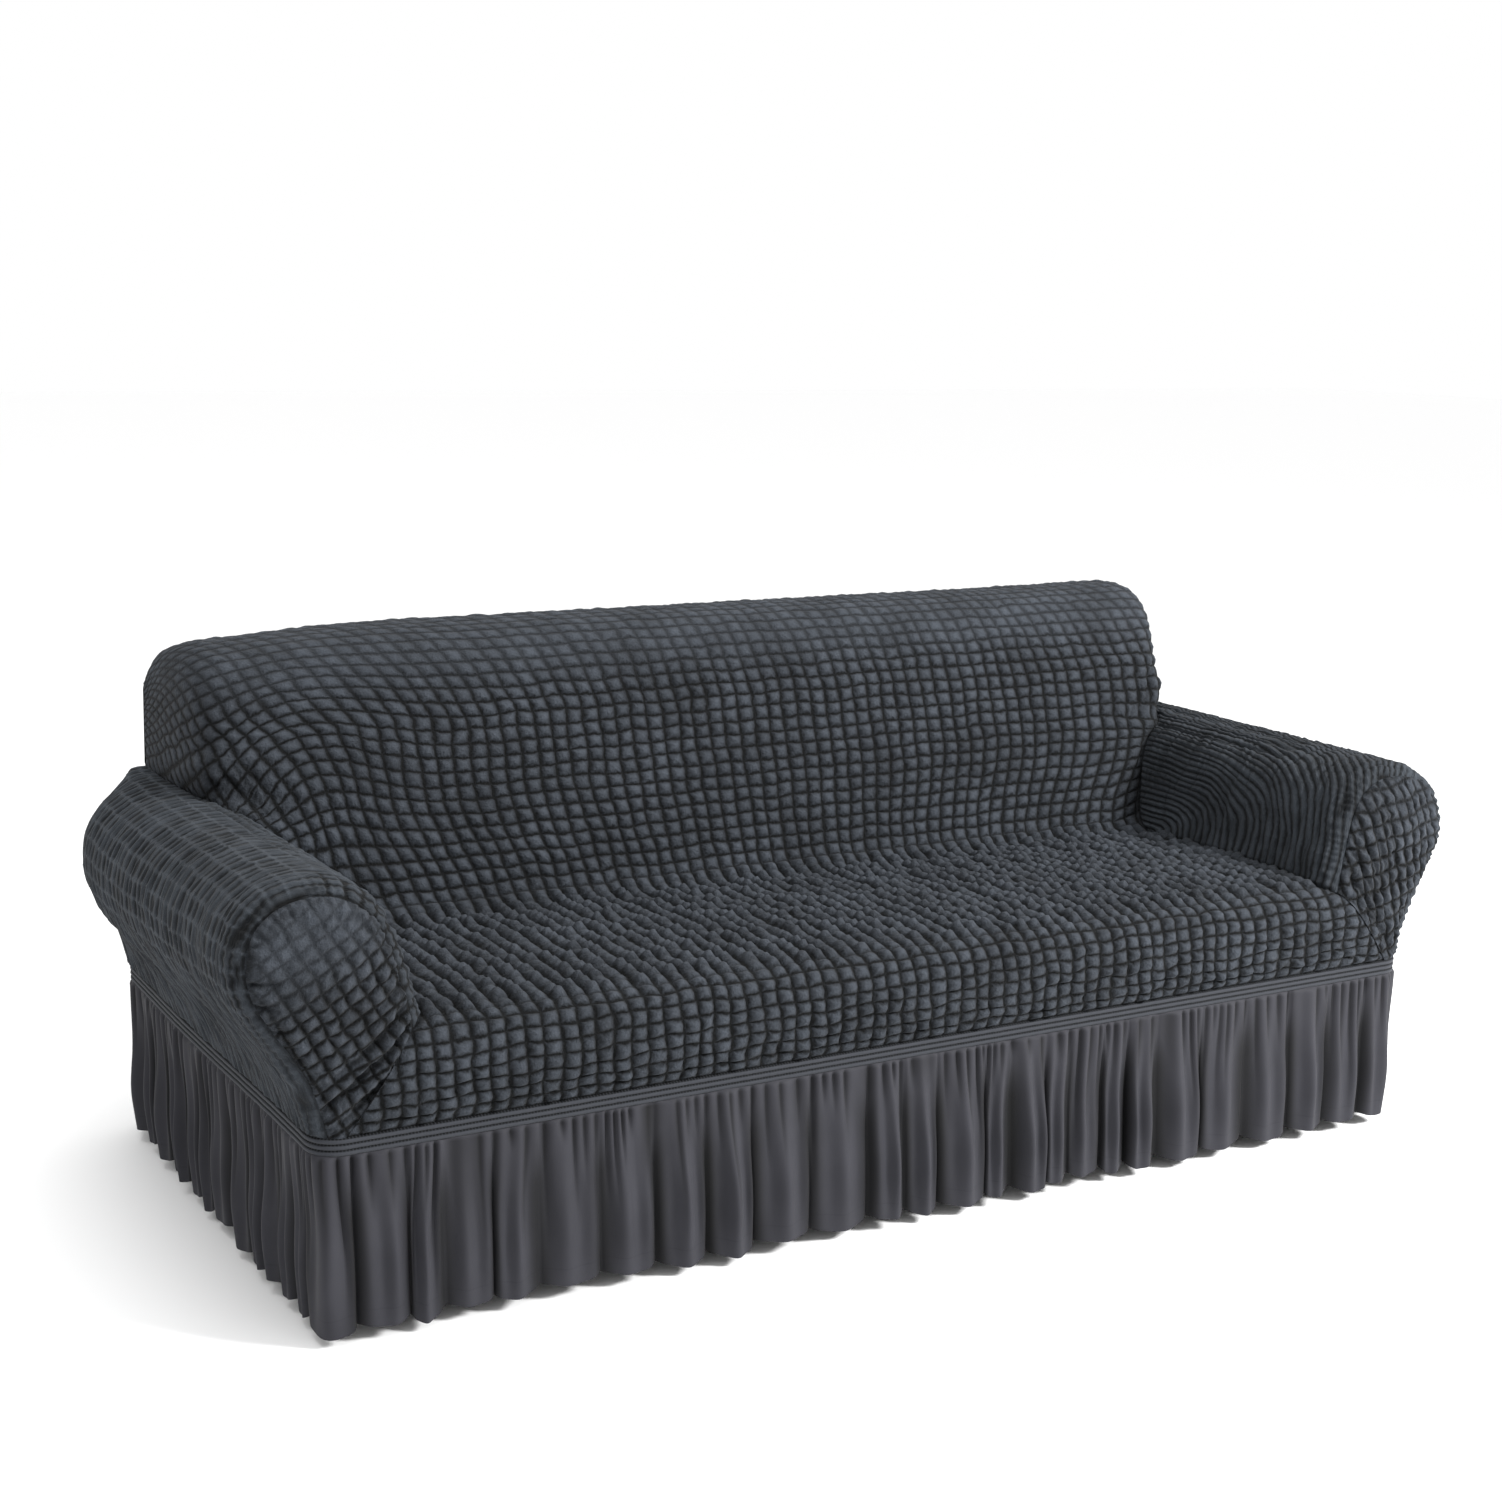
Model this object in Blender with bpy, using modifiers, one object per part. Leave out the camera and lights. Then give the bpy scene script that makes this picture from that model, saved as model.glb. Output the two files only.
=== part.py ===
"""Stretch slipcover for a three-seat sofa with rolled arms, as it sits on the sofa.

The cover is hollow and open underneath. Cloth panels are cut along the seams of one fitted
surface, an elastic band runs round them, and a gathered skirt hangs from the band.
X runs along the sofa, Y goes to the rear, Z is up. Left and right are the viewer's, from the front.
Heights below are measured from the floor; the origin is under the top of the back.
"""

import math

import bmesh
import bpy
import numpy as np
from mathutils import Vector

# ---------------------------------------------------------------- driving dimensions, metres
HALF_LENGTH = 1.000  # half the length along the elastic band
HALF_DEPTH = 0.478  # half the depth along the elastic band
CORNER_RADIUS = 0.045  # upright corners of the base
BAND_BOTTOM = 0.2750
BAND_TOP = 0.3010
HEM_HEIGHT = 0.018  # the skirt's lower edge clears the floor
CLOTH_THICKNESS = 0.0020
BAND_THICKNESS = 0.0030
BAND_RIBS = 3
SKIRT_THICKNESS = 0.0015
SEAM_GAP = 0.0003  # between any two pieces
WELD = 0.00005  # points closer than this are one
EDGE_DRAW_IN = 0.75 * SEAM_GAP  # each panel's share of a gap, with some in hand where panels meet at an angle
HANG_POINT = (0.0, 0.325, 0.880)  # under the top of the back, which carries the cover

# Middle section from the band up the front, over the seat and the back: depth y, height z
SECTION = (
    (-0.478, 0.301),
    (-0.481, 0.345),
    (-0.480, 0.385),
    (-0.471, 0.417),
    (-0.446, 0.438),
    (-0.370, 0.446),
    (-0.200, 0.448),
    (-0.040, 0.442),
    (0.022, 0.438),
    (0.058, 0.452),
    (0.082, 0.490),
    (0.126, 0.620),
    (0.168, 0.750),
    (0.198, 0.826),
    (0.245, 0.871),
    (0.312, 0.886),
    (0.385, 0.878),
    (0.440, 0.850),
    (0.458, 0.815),
)
CREASE = (0.030, 0.438)  # where the seat meets the back, y and z
RISE_ROW_HEIGHT = 0.635  # rows of the inside back below this end on the inner arm
TURN_ROW_HEIGHT = 0.735  # and rows above this reach the rear seam

# Right arm seen from the front, from the seat over the roll to the band: x, height z
ARM_SECTION = (
    (0.832, 0.438),
    (0.844, 0.500),
    (0.861, 0.560),
    (0.890, 0.614),
    (0.935, 0.645),
    (0.985, 0.653),
    (1.040, 0.641),
    (1.081, 0.608),
    (1.100, 0.560),
    (1.095, 0.505),
    (1.067, 0.450),
    (1.035, 0.402),
    (1.012, 0.352),
    (1.000, 0.301),
)
ARM_SEAM_FRONT = -0.470  # y of the arm's front seam at the band
ARM_LEAN = 0.10  # the arm's front leans back by this for each metre of height
SEAM_INSET_DEPTH = 0.008  # the front seam lies this far behind the arm's foremost line
ARM_BULGE = 0.012  # the arm's front face stands out in its middle
ARM_FACE_CENTRE = (0.965, 0.500)  # x, z
ROLL_END_START = 0.270  # the roll starts to round off towards the rear here
ROLL_END_DROP = 0.045  # and its end hangs lower by this
ROLL_END_HEIGHTS = (0.40, 0.60)  # the drop sets in between these
ROLL_WIDTH = 0.06  # and over this width outside the band

BACK_END = 0.972  # x of the back's upright end
BACK_END_START = 0.780  # x from which the seat's rows bend towards the arm
BACK_CORNER_START = 0.865  # and the back's rows start to turn round its end
BACK_TOP_RADIUS = 0.030  # upper corner of the rear seam, seen from behind
CORNER_SQUARENESS = 0.93  # how tightly the rows turn round the back's end
TURN_SQUARENESS = 2.5  # how squarely the foot of the back's end turns to the rear
TIGHT_TURN = 0.04  # rows that turn by less than this run straighter
END_LIFT = 0.75  # under 1, the upper rows reach the back's ends higher up
REAR_SEAM_INSET = 0.002  # the rear seam lies this far in front of the rear
FALL_SEAM_START = HALF_LENGTH - CORNER_RADIUS  # x where the fall's side seam meets the band

# The ends sit unevenly: at each height, how far the left end lies out and up, and the right end
END_SETTLE = (
    (0.000, 0.012, 0.000, 0.006, 0.000),
    (0.301, 0.018, 0.004, 0.022, 0.000),
    (0.440, 0.028, 0.000, 0.030, -0.002),
    (0.520, 0.016, -0.004, 0.034, -0.004),
    (0.650, 0.002, -0.014, 0.026, -0.008),
    (0.800, 0.000, -0.012, 0.028, 0.000),
    (0.886, 0.000, -0.018, 0.034, 0.003),
)
SETTLE_START = 0.60  # x from which an end sits unevenly
LEFT_SETTLE_LENGTH = 0.70  # the left end's grows over this much of the depth

# Skirt folds
SKIRT_FOLD_PITCH = 0.077  # mean width of one fold
SKIRT_FOLD_WIDTHS = (0.62, 1.38)  # least and greatest width, as shares of the mean
SKIRT_FOLD_STRENGTHS = (0.50, 1.0)
SKIRT_FOLD_DEPTH_TOP = 0.004
SKIRT_FOLD_DEPTH_HEM = 0.018
SKIRT_LOBE_FULLNESS = 0.6  # under 1, a fold is a broad lobe between narrow valleys
SKIRT_FLARE_FRONT = 0.008  # the hem stands out by this along the front and the rear
SKIRT_FLARE_SIDE = -0.008  # and hangs in by this along the sides
HEM_UNEVENNESS = 0.004
FOLD_SEED = 11

# Steps of the faceted solids
FALL_STEPS = 4
SEAT_STEPS = 10
SEAT_SPACING_EVENNESS = 0.1  # 0 sets the seat's steps closest at both ends, 1 sets them even
RISE_STEPS = 6  # up the inner arm
TURN_STEPS = 5  # round the foot of the back's end
TOP_STEPS = 11
OUTER_STEPS = 9
MIDDLE_STEPS = 10
END_STEPS = 7
FACE_RINGS = (0.0, 0.14, 0.5, 1.0)  # from the arm front's edge to its middle
TIP_STEPS = 2
RISE_ROW = FALL_STEPS + SEAT_STEPS + RISE_STEPS - 1  # rows past this turn round the back's end
STEPS_PER_FOLD = 5
SKIRT_ROWS = (0.0, 0.18, 0.55, 1.0)  # shares of the skirt's height, from the band down
CORNER_STEPS = 5
SIDE_STEP = 0.10  # the band's longest straight step

PIECES = (
    "seat_back_panel",
    "outside_back_panel",
    "arm_panel_left",
    "arm_panel_right",
    "arm_front_left",
    "arm_front_right",
)


# ---------------------------------------------------------------- small helpers
def smooth(t):
    """0 to 1 with soft ends."""
    t = min(max(t, 0.0), 1.0)
    return t * t * (3.0 - 2.0 * t)


def mix(a, b, t):
    return a + (b - a) * t


def spline(points, samples=24):
    """A dense smooth line through the points (Catmull-Rom)."""
    p = np.array(points, float)
    p = np.vstack([2 * p[0] - p[1], p, 2 * p[-1] - p[-2]])
    line = []
    for k in range(1, len(p) - 2):
        for t in np.arange(samples) / samples:
            line.append(
                0.5
                * (
                    2 * p[k]
                    + (p[k + 1] - p[k - 1]) * t
                    + (2 * p[k - 1] - 5 * p[k] + 4 * p[k + 1] - p[k + 2]) * t * t
                    + (3 * p[k] - p[k - 1] - 3 * p[k + 1] + p[k + 2]) * t**3
                )
            )
    line.append(p[-2])
    return np.array(line)


def along(line, share):
    """The point at this share of a line's length."""
    length = np.concatenate([[0.0], np.cumsum(np.linalg.norm(np.diff(line, axis=0), axis=1))])
    at = share * length[-1]
    return np.array([np.interp(at, length, line[:, k]) for k in range(line.shape[1])])


def share_where(line, column, value, start=0.0):
    """The share of the length, past start, where a column first reaches the value."""
    length = np.concatenate([[0.0], np.cumsum(np.linalg.norm(np.diff(line, axis=0), axis=1))])
    share = length / length[-1]
    for k in range(1, len(line)):
        low, high = line[k - 1, column], line[k, column]
        if share[k] > start and min(low, high) <= value <= max(low, high):
            part = (value - low) / (high - low) if high != low else 0.0
            return mix(share[k - 1], share[k], part)
    raise ValueError("the line never reaches that value")


def corner_inset(depth, radius=CORNER_RADIUS):
    """How far a rounded edge is drawn in at this depth behind its foremost line."""
    if depth >= radius:
        return 0.0
    return radius - math.sqrt(max(radius**2 - (radius - depth) ** 2, 0.0))


SECTION_LINE = spline(SECTION)
ARM_LINE = spline(ARM_SECTION)


# ---------------------------------------------------------------- the fitted surface
def seam_front(z):
    """y of the arm's front seam at a height."""
    return ARM_SEAM_FRONT + ARM_LEAN * (z - BAND_TOP)


FALL_END = share_where(SECTION_LINE, 0, seam_front(ARM_SECTION[0][1]), 0.05)
SEAT_END = share_where(SECTION_LINE, 0, CREASE[0], 0.2)
RISE_END = share_where(SECTION_LINE, 1, RISE_ROW_HEIGHT, SEAT_END)
TURN_END = share_where(SECTION_LINE, 1, TURN_ROW_HEIGHT, SEAT_END)


SEAT_LINE = np.array([along(SECTION_LINE, s) for s in np.linspace(FALL_END, SEAT_END, 60)])
BACK_LINE = np.array([along(SECTION_LINE, s) for s in np.linspace(SEAT_END, TURN_END, 60)])


def seat_height(y):
    """Height of the seat's surface at a depth."""
    return float(np.interp(y, SEAT_LINE[:, 0], SEAT_LINE[:, 1]))


def inside_back_depth(z):
    """y of the inside back at a height."""
    return float(np.interp(z, BACK_LINE[:, 1], BACK_LINE[:, 0]))


SEAM_TURN = share_where(ARM_LINE, 0, 0.905)  # where the back's end starts to stand on the arm
SEAM_REAR = share_where(ARM_LINE, 0, BACK_END)  # where the arm, the back and the rear meet
JOIN_SHARE = 0.12  # share of the arm's section over which it takes on its neighbours' heights


def arm_rear(a):
    """y where the arm panel ends, at share a of the arm's section."""
    rear = HALF_DEPTH - REAR_SEAM_INSET
    if a >= SEAM_REAR:
        return rear
    z = max(along(ARM_LINE, a)[1], CREASE[1] + 0.001)
    inside = CREASE[0] if a <= 0.0 else inside_back_depth(z)
    turn = max(a - SEAM_TURN, 0.0) / (SEAM_REAR - SEAM_TURN)
    return mix(inside, rear, 1.0 - (1.0 - turn**TURN_SQUARENESS) ** (1.0 / TURN_SQUARENESS))


def arm_point(a, b):
    """Right arm: share a round its section from the seat to the band, b from front to rear."""
    x, z = along(ARM_LINE, a)
    ahead = along(ARM_LINE, min(a + 0.01, 1.0)) - along(ARM_LINE, max(a - 0.01, 0.0))
    tangent = ahead / np.linalg.norm(ahead)
    inward = np.array([tangent[1], -tangent[0]])
    front = seam_front(z)
    y = mix(front, arm_rear(a), b)
    inset = corner_inset(y - front + SEAM_INSET_DEPTH)
    if a == 1.0:
        inward = np.array([-1.0, 0.0])
    if a == 0.0:
        inward = np.array([1.0, 0.0])
    x += inward[0] * inset
    z += inward[1] * inset
    if a > SEAM_REAR:
        end = max(y - ROLL_END_START, 0.0) / (HALF_DEPTH - ROLL_END_START)
        keep = math.sqrt(max(1.0 - end * end, 0.0))
        outside = max(x - HALF_LENGTH, 0.0)
        x -= outside * (1.0 - keep)
        low, high = ROLL_END_HEIGHTS
        z -= ROLL_END_DROP * (1.0 - keep) * smooth(outside / ROLL_WIDTH) * smooth((z - low) / (high - low))
        x -= corner_inset(HALF_DEPTH - y) * smooth((a - SEAM_REAR) / JOIN_SHARE)
    if y <= CREASE[0]:
        z += (seat_height(y) - ARM_SECTION[0][1]) * (1.0 - smooth(a / JOIN_SHARE))
    return np.array([x, y, z])


def rear_seam(t):
    """The rear seam beside the back, from the arm (t = 0) to its upper corner (t = 1)."""
    y = HALF_DEPTH - REAR_SEAM_INSET
    low = arm_point(SEAM_REAR, 1.0)
    top = SECTION[-1][1]
    straight = top - BACK_TOP_RADIUS - low[2]
    arc = BACK_TOP_RADIUS * math.pi / 2
    run = t * (straight + arc)
    if run <= straight:
        return np.array([low[0], y, low[2] + run])
    turn = (run - straight) / BACK_TOP_RADIUS
    x = low[0] - BACK_TOP_RADIUS * (1.0 - math.cos(turn))
    z = top - BACK_TOP_RADIUS * (1.0 - math.sin(turn))
    return np.array([x, mix(y, SECTION[-1][0], smooth(turn * 2 / math.pi)), z])


def section_shares():
    """Rows of the seat and back panel, as shares of the middle section's length."""
    fall = np.linspace(0.0, FALL_END, FALL_STEPS + 1)
    seat = mix(FALL_END, SEAT_END, seat_spacing())
    rise = np.linspace(SEAT_END, RISE_END, RISE_STEPS + 1)
    turn = np.linspace(RISE_END, TURN_END, TURN_STEPS + 1)
    top = np.linspace(TURN_END, 1.0, TOP_STEPS + 1)
    return np.concatenate([fall, seat[1:], rise[1:], turn[1:], top[1:]])


def seat_spacing():
    """Steps from front to rear, closer at both ends."""
    t = np.linspace(0.0, 1.0, SEAT_STEPS + 1)
    return mix(0.5 - 0.5 * np.cos(math.pi * t), t, SEAT_SPACING_EVENNESS)


def arm_shares():
    """Steps round the arm's section: up to the rear seam, then down the outside."""
    rise = np.linspace(0.0, SEAM_TURN, RISE_STEPS + 1)
    turn = mix(SEAM_TURN, SEAM_REAR, np.sin(np.linspace(0.0, math.pi / 2, TURN_STEPS + 1)))
    outer = np.linspace(SEAM_REAR, 1.0, OUTER_STEPS + 1)
    return np.concatenate([rise, turn[1:], outer[1:]])


def side_seam():
    """Right-hand end of each row of the seat and back panel."""
    rows = section_shares()
    points = []
    corner = arm_point(0.0, 0.0)
    for k in range(FALL_STEPS):
        y, z = along(SECTION_LINE, rows[k])
        points.append(np.array([mix(FALL_SEAM_START, corner[0], k / FALL_STEPS), y, z]))
    points += [arm_point(0.0, b) for b in arm_lengths()]
    points += [arm_point(a, 1.0) for a in arm_shares()[1 : RISE_STEPS + TURN_STEPS + 1]]
    points += [rear_seam((k / TOP_STEPS) ** END_LIFT) for k in range(1, TOP_STEPS + 1)]
    return points


def arm_lengths():
    """Shares of the arm's length at the seat's rows, so that both meet at the same points."""
    rows = section_shares()[FALL_STEPS : FALL_STEPS + SEAT_STEPS + 1]
    depths = np.array([along(SECTION_LINE, s)[0] for s in rows])
    return (depths - depths[0]) / (depths[-1] - depths[0])


def seat_back_grid():
    """Rows from the band over the seat and back, columns from left to right."""
    grid = []
    for k, (share, end) in enumerate(zip(section_shares(), side_seam())):
        y, z = along(SECTION_LINE, share)
        turned = smooth((k - RISE_ROW) / TURN_STEPS)
        start = np.array([mix(BACK_END_START, BACK_CORNER_START, turned), y, z])
        reach = end - start
        turned *= min(math.hypot(reach[1], reach[2]) / TIGHT_TURN, 1.0)
        lead = mix(reach / 3, np.array([reach[0] * CORNER_SQUARENESS, 0.0, 0.0]), turned)
        arrive = mix(reach / 3, np.array([0.0, reach[1], reach[2]]) * CORNER_SQUARENESS, turned)
        right = []
        for s in np.linspace(0.0, 1.0, END_STEPS + 1):
            c = (1 - s) ** 3, 3 * s * (1 - s) ** 2, 3 * s * s * (1 - s), s**3
            right.append(c[0] * start + c[1] * (start + lead) + c[2] * (end - arrive) + c[3] * end)
        left = [p * (-1, 1, 1) for p in reversed(right)]
        middle = [np.array([x, y, z]) for x in np.linspace(-1, 1, MIDDLE_STEPS + 1) * start[0]]
        grid.append(left + middle[1:-1] + right)
    return np.array(grid)


def arm_grid():
    """Right arm panel: rows round the section, columns from front to rear."""
    return np.array([[arm_point(a, b) for b in arm_lengths()] for a in arm_shares()])


def arm_front_rim(panel, arm):
    """Closed edge of the right arm front, from the seat corner over the roll and back."""
    over = list(arm[:, 0])
    foot = over[-1]
    centre = np.array([HALF_LENGTH - CORNER_RADIUS, CORNER_RADIUS - HALF_DEPTH])
    full_turn = math.atan2(foot[0] - centre[0], centre[1] - foot[1])
    tip = []
    for k in range(1, TIP_STEPS):
        turn = full_turn * (1 - k / TIP_STEPS)
        x, y = centre + CORNER_RADIUS * np.array([math.sin(turn), -math.cos(turn)])
        tip.append(np.array([x, y, foot[2]]))
    fall = [panel[k][-1] for k in range(FALL_STEPS)]
    return over + tip + fall


def arm_front_grid(panel, arm):
    """Rings from the right arm front's edge to its middle."""
    rim = arm_front_rim(panel, arm)
    x, z = ARM_FACE_CENTRE
    centre = np.array([x, seam_front(z) - SEAM_INSET_DEPTH - ARM_BULGE, z])
    grid = []
    for t in FACE_RINGS:
        ring = []
        for p in rim + rim[:1]:
            q = mix(p, centre, t)
            q[1] = mix(p[1], centre[1], math.sqrt(math.sin(t * math.pi / 2)))
            ring.append(q)
        grid.append(ring)
    return np.array(grid)


def outside_back_grid(panel, arm):
    """The rear: rows from the band to the top seam, columns from left to right."""
    top = panel[-1]
    right = np.vstack([arm[::-1][: OUTER_STEPS + 1, -1], panel[-TOP_STEPS:, -1]])
    left = right * (-1, 1, 1)
    share = (top[:, 0] - top[0, 0]) / (top[-1, 0] - top[0, 0])
    bottom = []
    for s in share:
        x = mix(left[0][0], right[0][0], s)
        edge = HALF_LENGTH - abs(x)
        bottom.append(np.array([x, HALF_DEPTH - corner_inset(edge), right[0][2]]))
    bottom[0], bottom[-1] = left[0], right[0]
    grid = []
    for lp, rp in zip(left, right):
        t = (rp[2] - right[0][2]) / (right[-1][2] - right[0][2])
        row = []
        for i, s in enumerate(share):
            corner = mix(mix(left[0], right[0], s), mix(left[-1], right[-1], s), t)
            row.append(mix(lp, rp, s) + mix(bottom[i], top[i], t) - corner)
        grid.append(row)
    return np.array(grid)


def settle(bm):
    """Moves the points of both ends to where they unevenly lie."""
    height, left_out, left_up, right_out, right_up = np.array(END_SETTLE).T
    for v in bm.verts:
        x, y, z = v.co
        share = smooth((abs(x) - SETTLE_START) / (HALF_LENGTH - SETTLE_START))
        if x < 0:
            share *= smooth((y + HALF_DEPTH) / LEFT_SETTLE_LENGTH)
            v.co.x -= share * np.interp(z, height, left_out)
            v.co.z += share * np.interp(z, height, left_up)
        else:
            v.co.x += share * np.interp(z, height, right_out)
            v.co.z += share * np.interp(z, height, right_up)


# ---------------------------------------------------------------- meshes
def add_grid(bm, grid, piece):
    """Adds a sheet through a grid of points, marked as one piece."""
    rows, columns = grid.shape[:2]
    made = bmesh.ops.create_grid(bm, x_segments=columns - 1, y_segments=rows - 1, size=1.0)
    for v in made["verts"]:
        i = round((v.co.x + 1) / 2 * (columns - 1))
        j = round((v.co.y + 1) / 2 * (rows - 1))
        v.co = Vector(grid[j][i])
    for face in {f for v in made["verts"] for f in v.link_faces}:
        face.material_index = piece
    return made["verts"]


def fitted_surface():
    """One open surface of all the cloth above the band, with a material index for each piece."""
    panel, arm = seat_back_grid(), arm_grid()
    front = arm_front_grid(panel, arm)
    bm = bmesh.new()
    add_grid(bm, panel, 0)
    add_grid(bm, outside_back_grid(panel, arm), 1)
    add_grid(bm, arm * (-1, 1, 1), 2)
    add_grid(bm, arm, 3)
    add_grid(bm, front * (-1, 1, 1), 4)
    add_grid(bm, front, 5)
    bmesh.ops.remove_doubles(bm, verts=bm.verts, dist=WELD)
    settle(bm)
    bmesh.ops.recalc_face_normals(bm, faces=bm.faces)
    highest = max(bm.faces, key=lambda f: f.calc_center_median().z)
    if highest.normal.z < 0:
        bmesh.ops.reverse_faces(bm, faces=bm.faces)
    bmesh.ops.triangulate(bm, faces=bm.faces)
    mesh = bpy.data.meshes.new("fitted_surface")
    bm.to_mesh(mesh)
    bm.free()
    return mesh


def thick_surface(mesh, collection):
    """The fitted surface and its inner skin, from a Solidify without rims."""
    carrier = bpy.data.objects.new("fitted_surface", mesh)
    collection.objects.link(carrier)
    thicken = carrier.modifiers.new("cloth thickness", "SOLIDIFY")
    thicken.thickness = CLOTH_THICKNESS
    thicken.offset = -1.0
    thicken.use_rim = False
    thicken.use_even_offset = True
    graph = bpy.context.evaluated_depsgraph_get()
    made = bpy.data.meshes.new_from_object(carrier.evaluated_get(graph))
    bpy.data.objects.remove(carrier)
    return made


def cut_piece(shell, outer_count, index):
    """One piece of the thick surface, drawn in by half a seam gap along its edges."""
    bm = bmesh.new()
    bm.from_mesh(shell)
    bm.verts.ensure_lookup_table()
    bm.verts.index_update()
    pairs = {v: bm.verts[v.index + outer_count] for v in bm.verts if v.index < outer_count}
    others = [f for f in bm.faces if f.material_index != index]
    rim = [
        e
        for e in bm.edges
        if e.verts[0] in pairs
        and e.verts[1] in pairs
        and sum(f.material_index == index for f in e.link_faces) == 1
    ]
    shift = {v: Vector() for edge in rim for v in edge.verts}
    for edge in rim:
        face = next(f for f in edge.link_faces if f.material_index == index)
        direction = (edge.verts[1].co - edge.verts[0].co).normalized()
        inward = face.normal.cross(direction)
        if inward.dot(face.calc_center_median() - edge.verts[0].co) < 0:
            inward.negate()
        for v in edge.verts:
            shift[v] += inward
    for v, inward in shift.items():
        step = inward.normalized() * EDGE_DRAW_IN
        for end in (v, pairs[v]):
            end.co += step
    for edge in rim:
        face = next(f for f in edge.link_faces if f.material_index == index)
        order = [loop.vert for loop in face.loops]
        a, b = edge.verts
        if order[(order.index(a) + 1) % len(order)] is not b:
            a, b = b, a
        bm.faces.new((b, a, pairs[a], pairs[b])).material_index = index
    bmesh.ops.delete(bm, geom=others, context="FACES")
    bmesh.ops.triangulate(bm, faces=bm.faces)
    for face in bm.faces:
        face.material_index = 0
    mesh = bpy.data.meshes.new(PIECES[index])
    bm.to_mesh(mesh)
    bm.free()
    return mesh


# ---------------------------------------------------------------- band and skirt
def base_point(run):
    """A point and the outward direction on the base's outline, at a distance round it.

    The outline is a rounded rectangle that starts at the middle of the rear."""
    sides = base_sides()
    run %= sum(length for length, _ in sides)
    position = np.array([0.0, HALF_DEPTH])
    heading = math.pi
    for length, turn in sides:
        part = min(run, length)
        if turn == 0.0:
            position = position + part * np.array([math.cos(heading), math.sin(heading)])
        else:
            angle = part / CORNER_RADIUS
            centre = position + CORNER_RADIUS * np.array([-math.sin(heading), math.cos(heading)])
            heading += angle
            position = centre + CORNER_RADIUS * np.array([math.sin(heading), -math.cos(heading)])
        run -= part
        if run <= 1e-12:
            break
    return position, np.array([math.sin(heading), -math.cos(heading)])


def base_sides():
    """The outline's runs: length, and the turn of each corner."""
    half = (HALF_LENGTH - CORNER_RADIUS, 0.0)
    front = (2 * half[0], 0.0)
    depth = (2 * (HALF_DEPTH - CORNER_RADIUS), 0.0)
    corner = (CORNER_RADIUS * math.pi / 2, math.pi / 2)
    return (half, corner, depth, corner, front, corner, depth, corner, half)


def base_length():
    return sum(length for length, _ in base_sides())


def band_runs():
    """Distances round the outline where the band has a ring of points."""
    runs, start = [], 0.0
    for length, turn in base_sides():
        steps = CORNER_STEPS if turn else max(math.ceil(length / SIDE_STEP), 1)
        runs += [start + length * k / steps for k in range(steps)]
        start += length
    return runs + [start]


def band_outline():
    """The band's section: distance out from the base's outline, and height."""
    top = BAND_TOP - SEAM_GAP
    rib = (top - BAND_BOTTOM) / BAND_RIBS
    crest = BAND_THICKNESS - CLOTH_THICKNESS
    outline = [(-CLOTH_THICKNESS, BAND_BOTTOM)]
    for k in range(BAND_RIBS):
        low = BAND_BOTTOM + k * rib
        outline += [(0.0, low), (crest, low + rib / 4), (crest, low + rib * 3 / 4)]
    outline += [(0.0, top), (-CLOTH_THICKNESS, top)]
    return outline + outline[:1]


def elastic_band():
    runs, outline = band_runs(), band_outline()
    grid = []
    for out, z in outline:
        row = []
        for run in runs:
            p, n = base_point(run)
            row.append([*(p + n * out), z])
        grid.append(row)
    bm = bmesh.new()
    add_grid(bm, np.array(grid), 0)
    bmesh.ops.remove_doubles(bm, verts=bm.verts, dist=WELD)
    settle(bm)
    bmesh.ops.recalc_face_normals(bm, faces=bm.faces)
    return bm


def skirt_folds():
    """The folds round the skirt: where each starts, its width, its strength and its hem."""
    random = np.random.RandomState(FOLD_SEED)
    count = round(base_length() / SKIRT_FOLD_PITCH)
    widths = random.uniform(*SKIRT_FOLD_WIDTHS, count)
    widths *= base_length() / widths.sum()
    starts = np.concatenate([[0.0], np.cumsum(widths)[:-1]])
    strengths = random.uniform(*SKIRT_FOLD_STRENGTHS, count)
    hems = random.uniform(-1.0, 1.0, count)
    return starts, widths, strengths, hems


def skirt_grid():
    """Rows from the band down to the hem, columns round the base through every fold."""
    starts, widths, strengths, hems = skirt_folds()
    top = BAND_BOTTOM - SEAM_GAP
    grid = []
    for drop in SKIRT_ROWS:
        z = mix(top, HEM_HEIGHT, drop)
        depth = mix(SKIRT_FOLD_DEPTH_TOP, SKIRT_FOLD_DEPTH_HEM, smooth(drop))
        row = []
        for start, width, strength, hem in zip(starts, widths, strengths, hems):
            for step in range(STEPS_PER_FOLD):
                t = step / STEPS_PER_FOLD
                p, n = base_point(start + width * t)
                lobe = math.sin(math.pi * t) ** SKIRT_LOBE_FULLNESS
                flare = mix(SKIRT_FLARE_FRONT, SKIRT_FLARE_SIDE, abs(n[0])) * drop
                lift = HEM_UNEVENNESS * hem * math.sin(math.pi * t) * drop**3
                row.append([*(p + n * (lobe * depth * strength + flare)), z + lift])
        grid.append(row + row[:1])
    return np.array(grid)


def skirt():
    bm = bmesh.new()
    add_grid(bm, skirt_grid(), 0)
    bmesh.ops.remove_doubles(bm, verts=bm.verts, dist=WELD)
    settle(bm)
    bmesh.ops.recalc_face_normals(bm, faces=bm.faces)
    return bm


# ---------------------------------------------------------------- materials and objects
def cloth(name, colour, roughness):
    material = bpy.data.materials.new(name)
    material.use_nodes = True
    shader = material.node_tree.nodes["Principled BSDF"]
    shader.inputs["Base Color"].default_value = (*colour, 1.0)
    shader.inputs["Roughness"].default_value = roughness
    shader.inputs["Metallic"].default_value = 0.0
    return material


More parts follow.
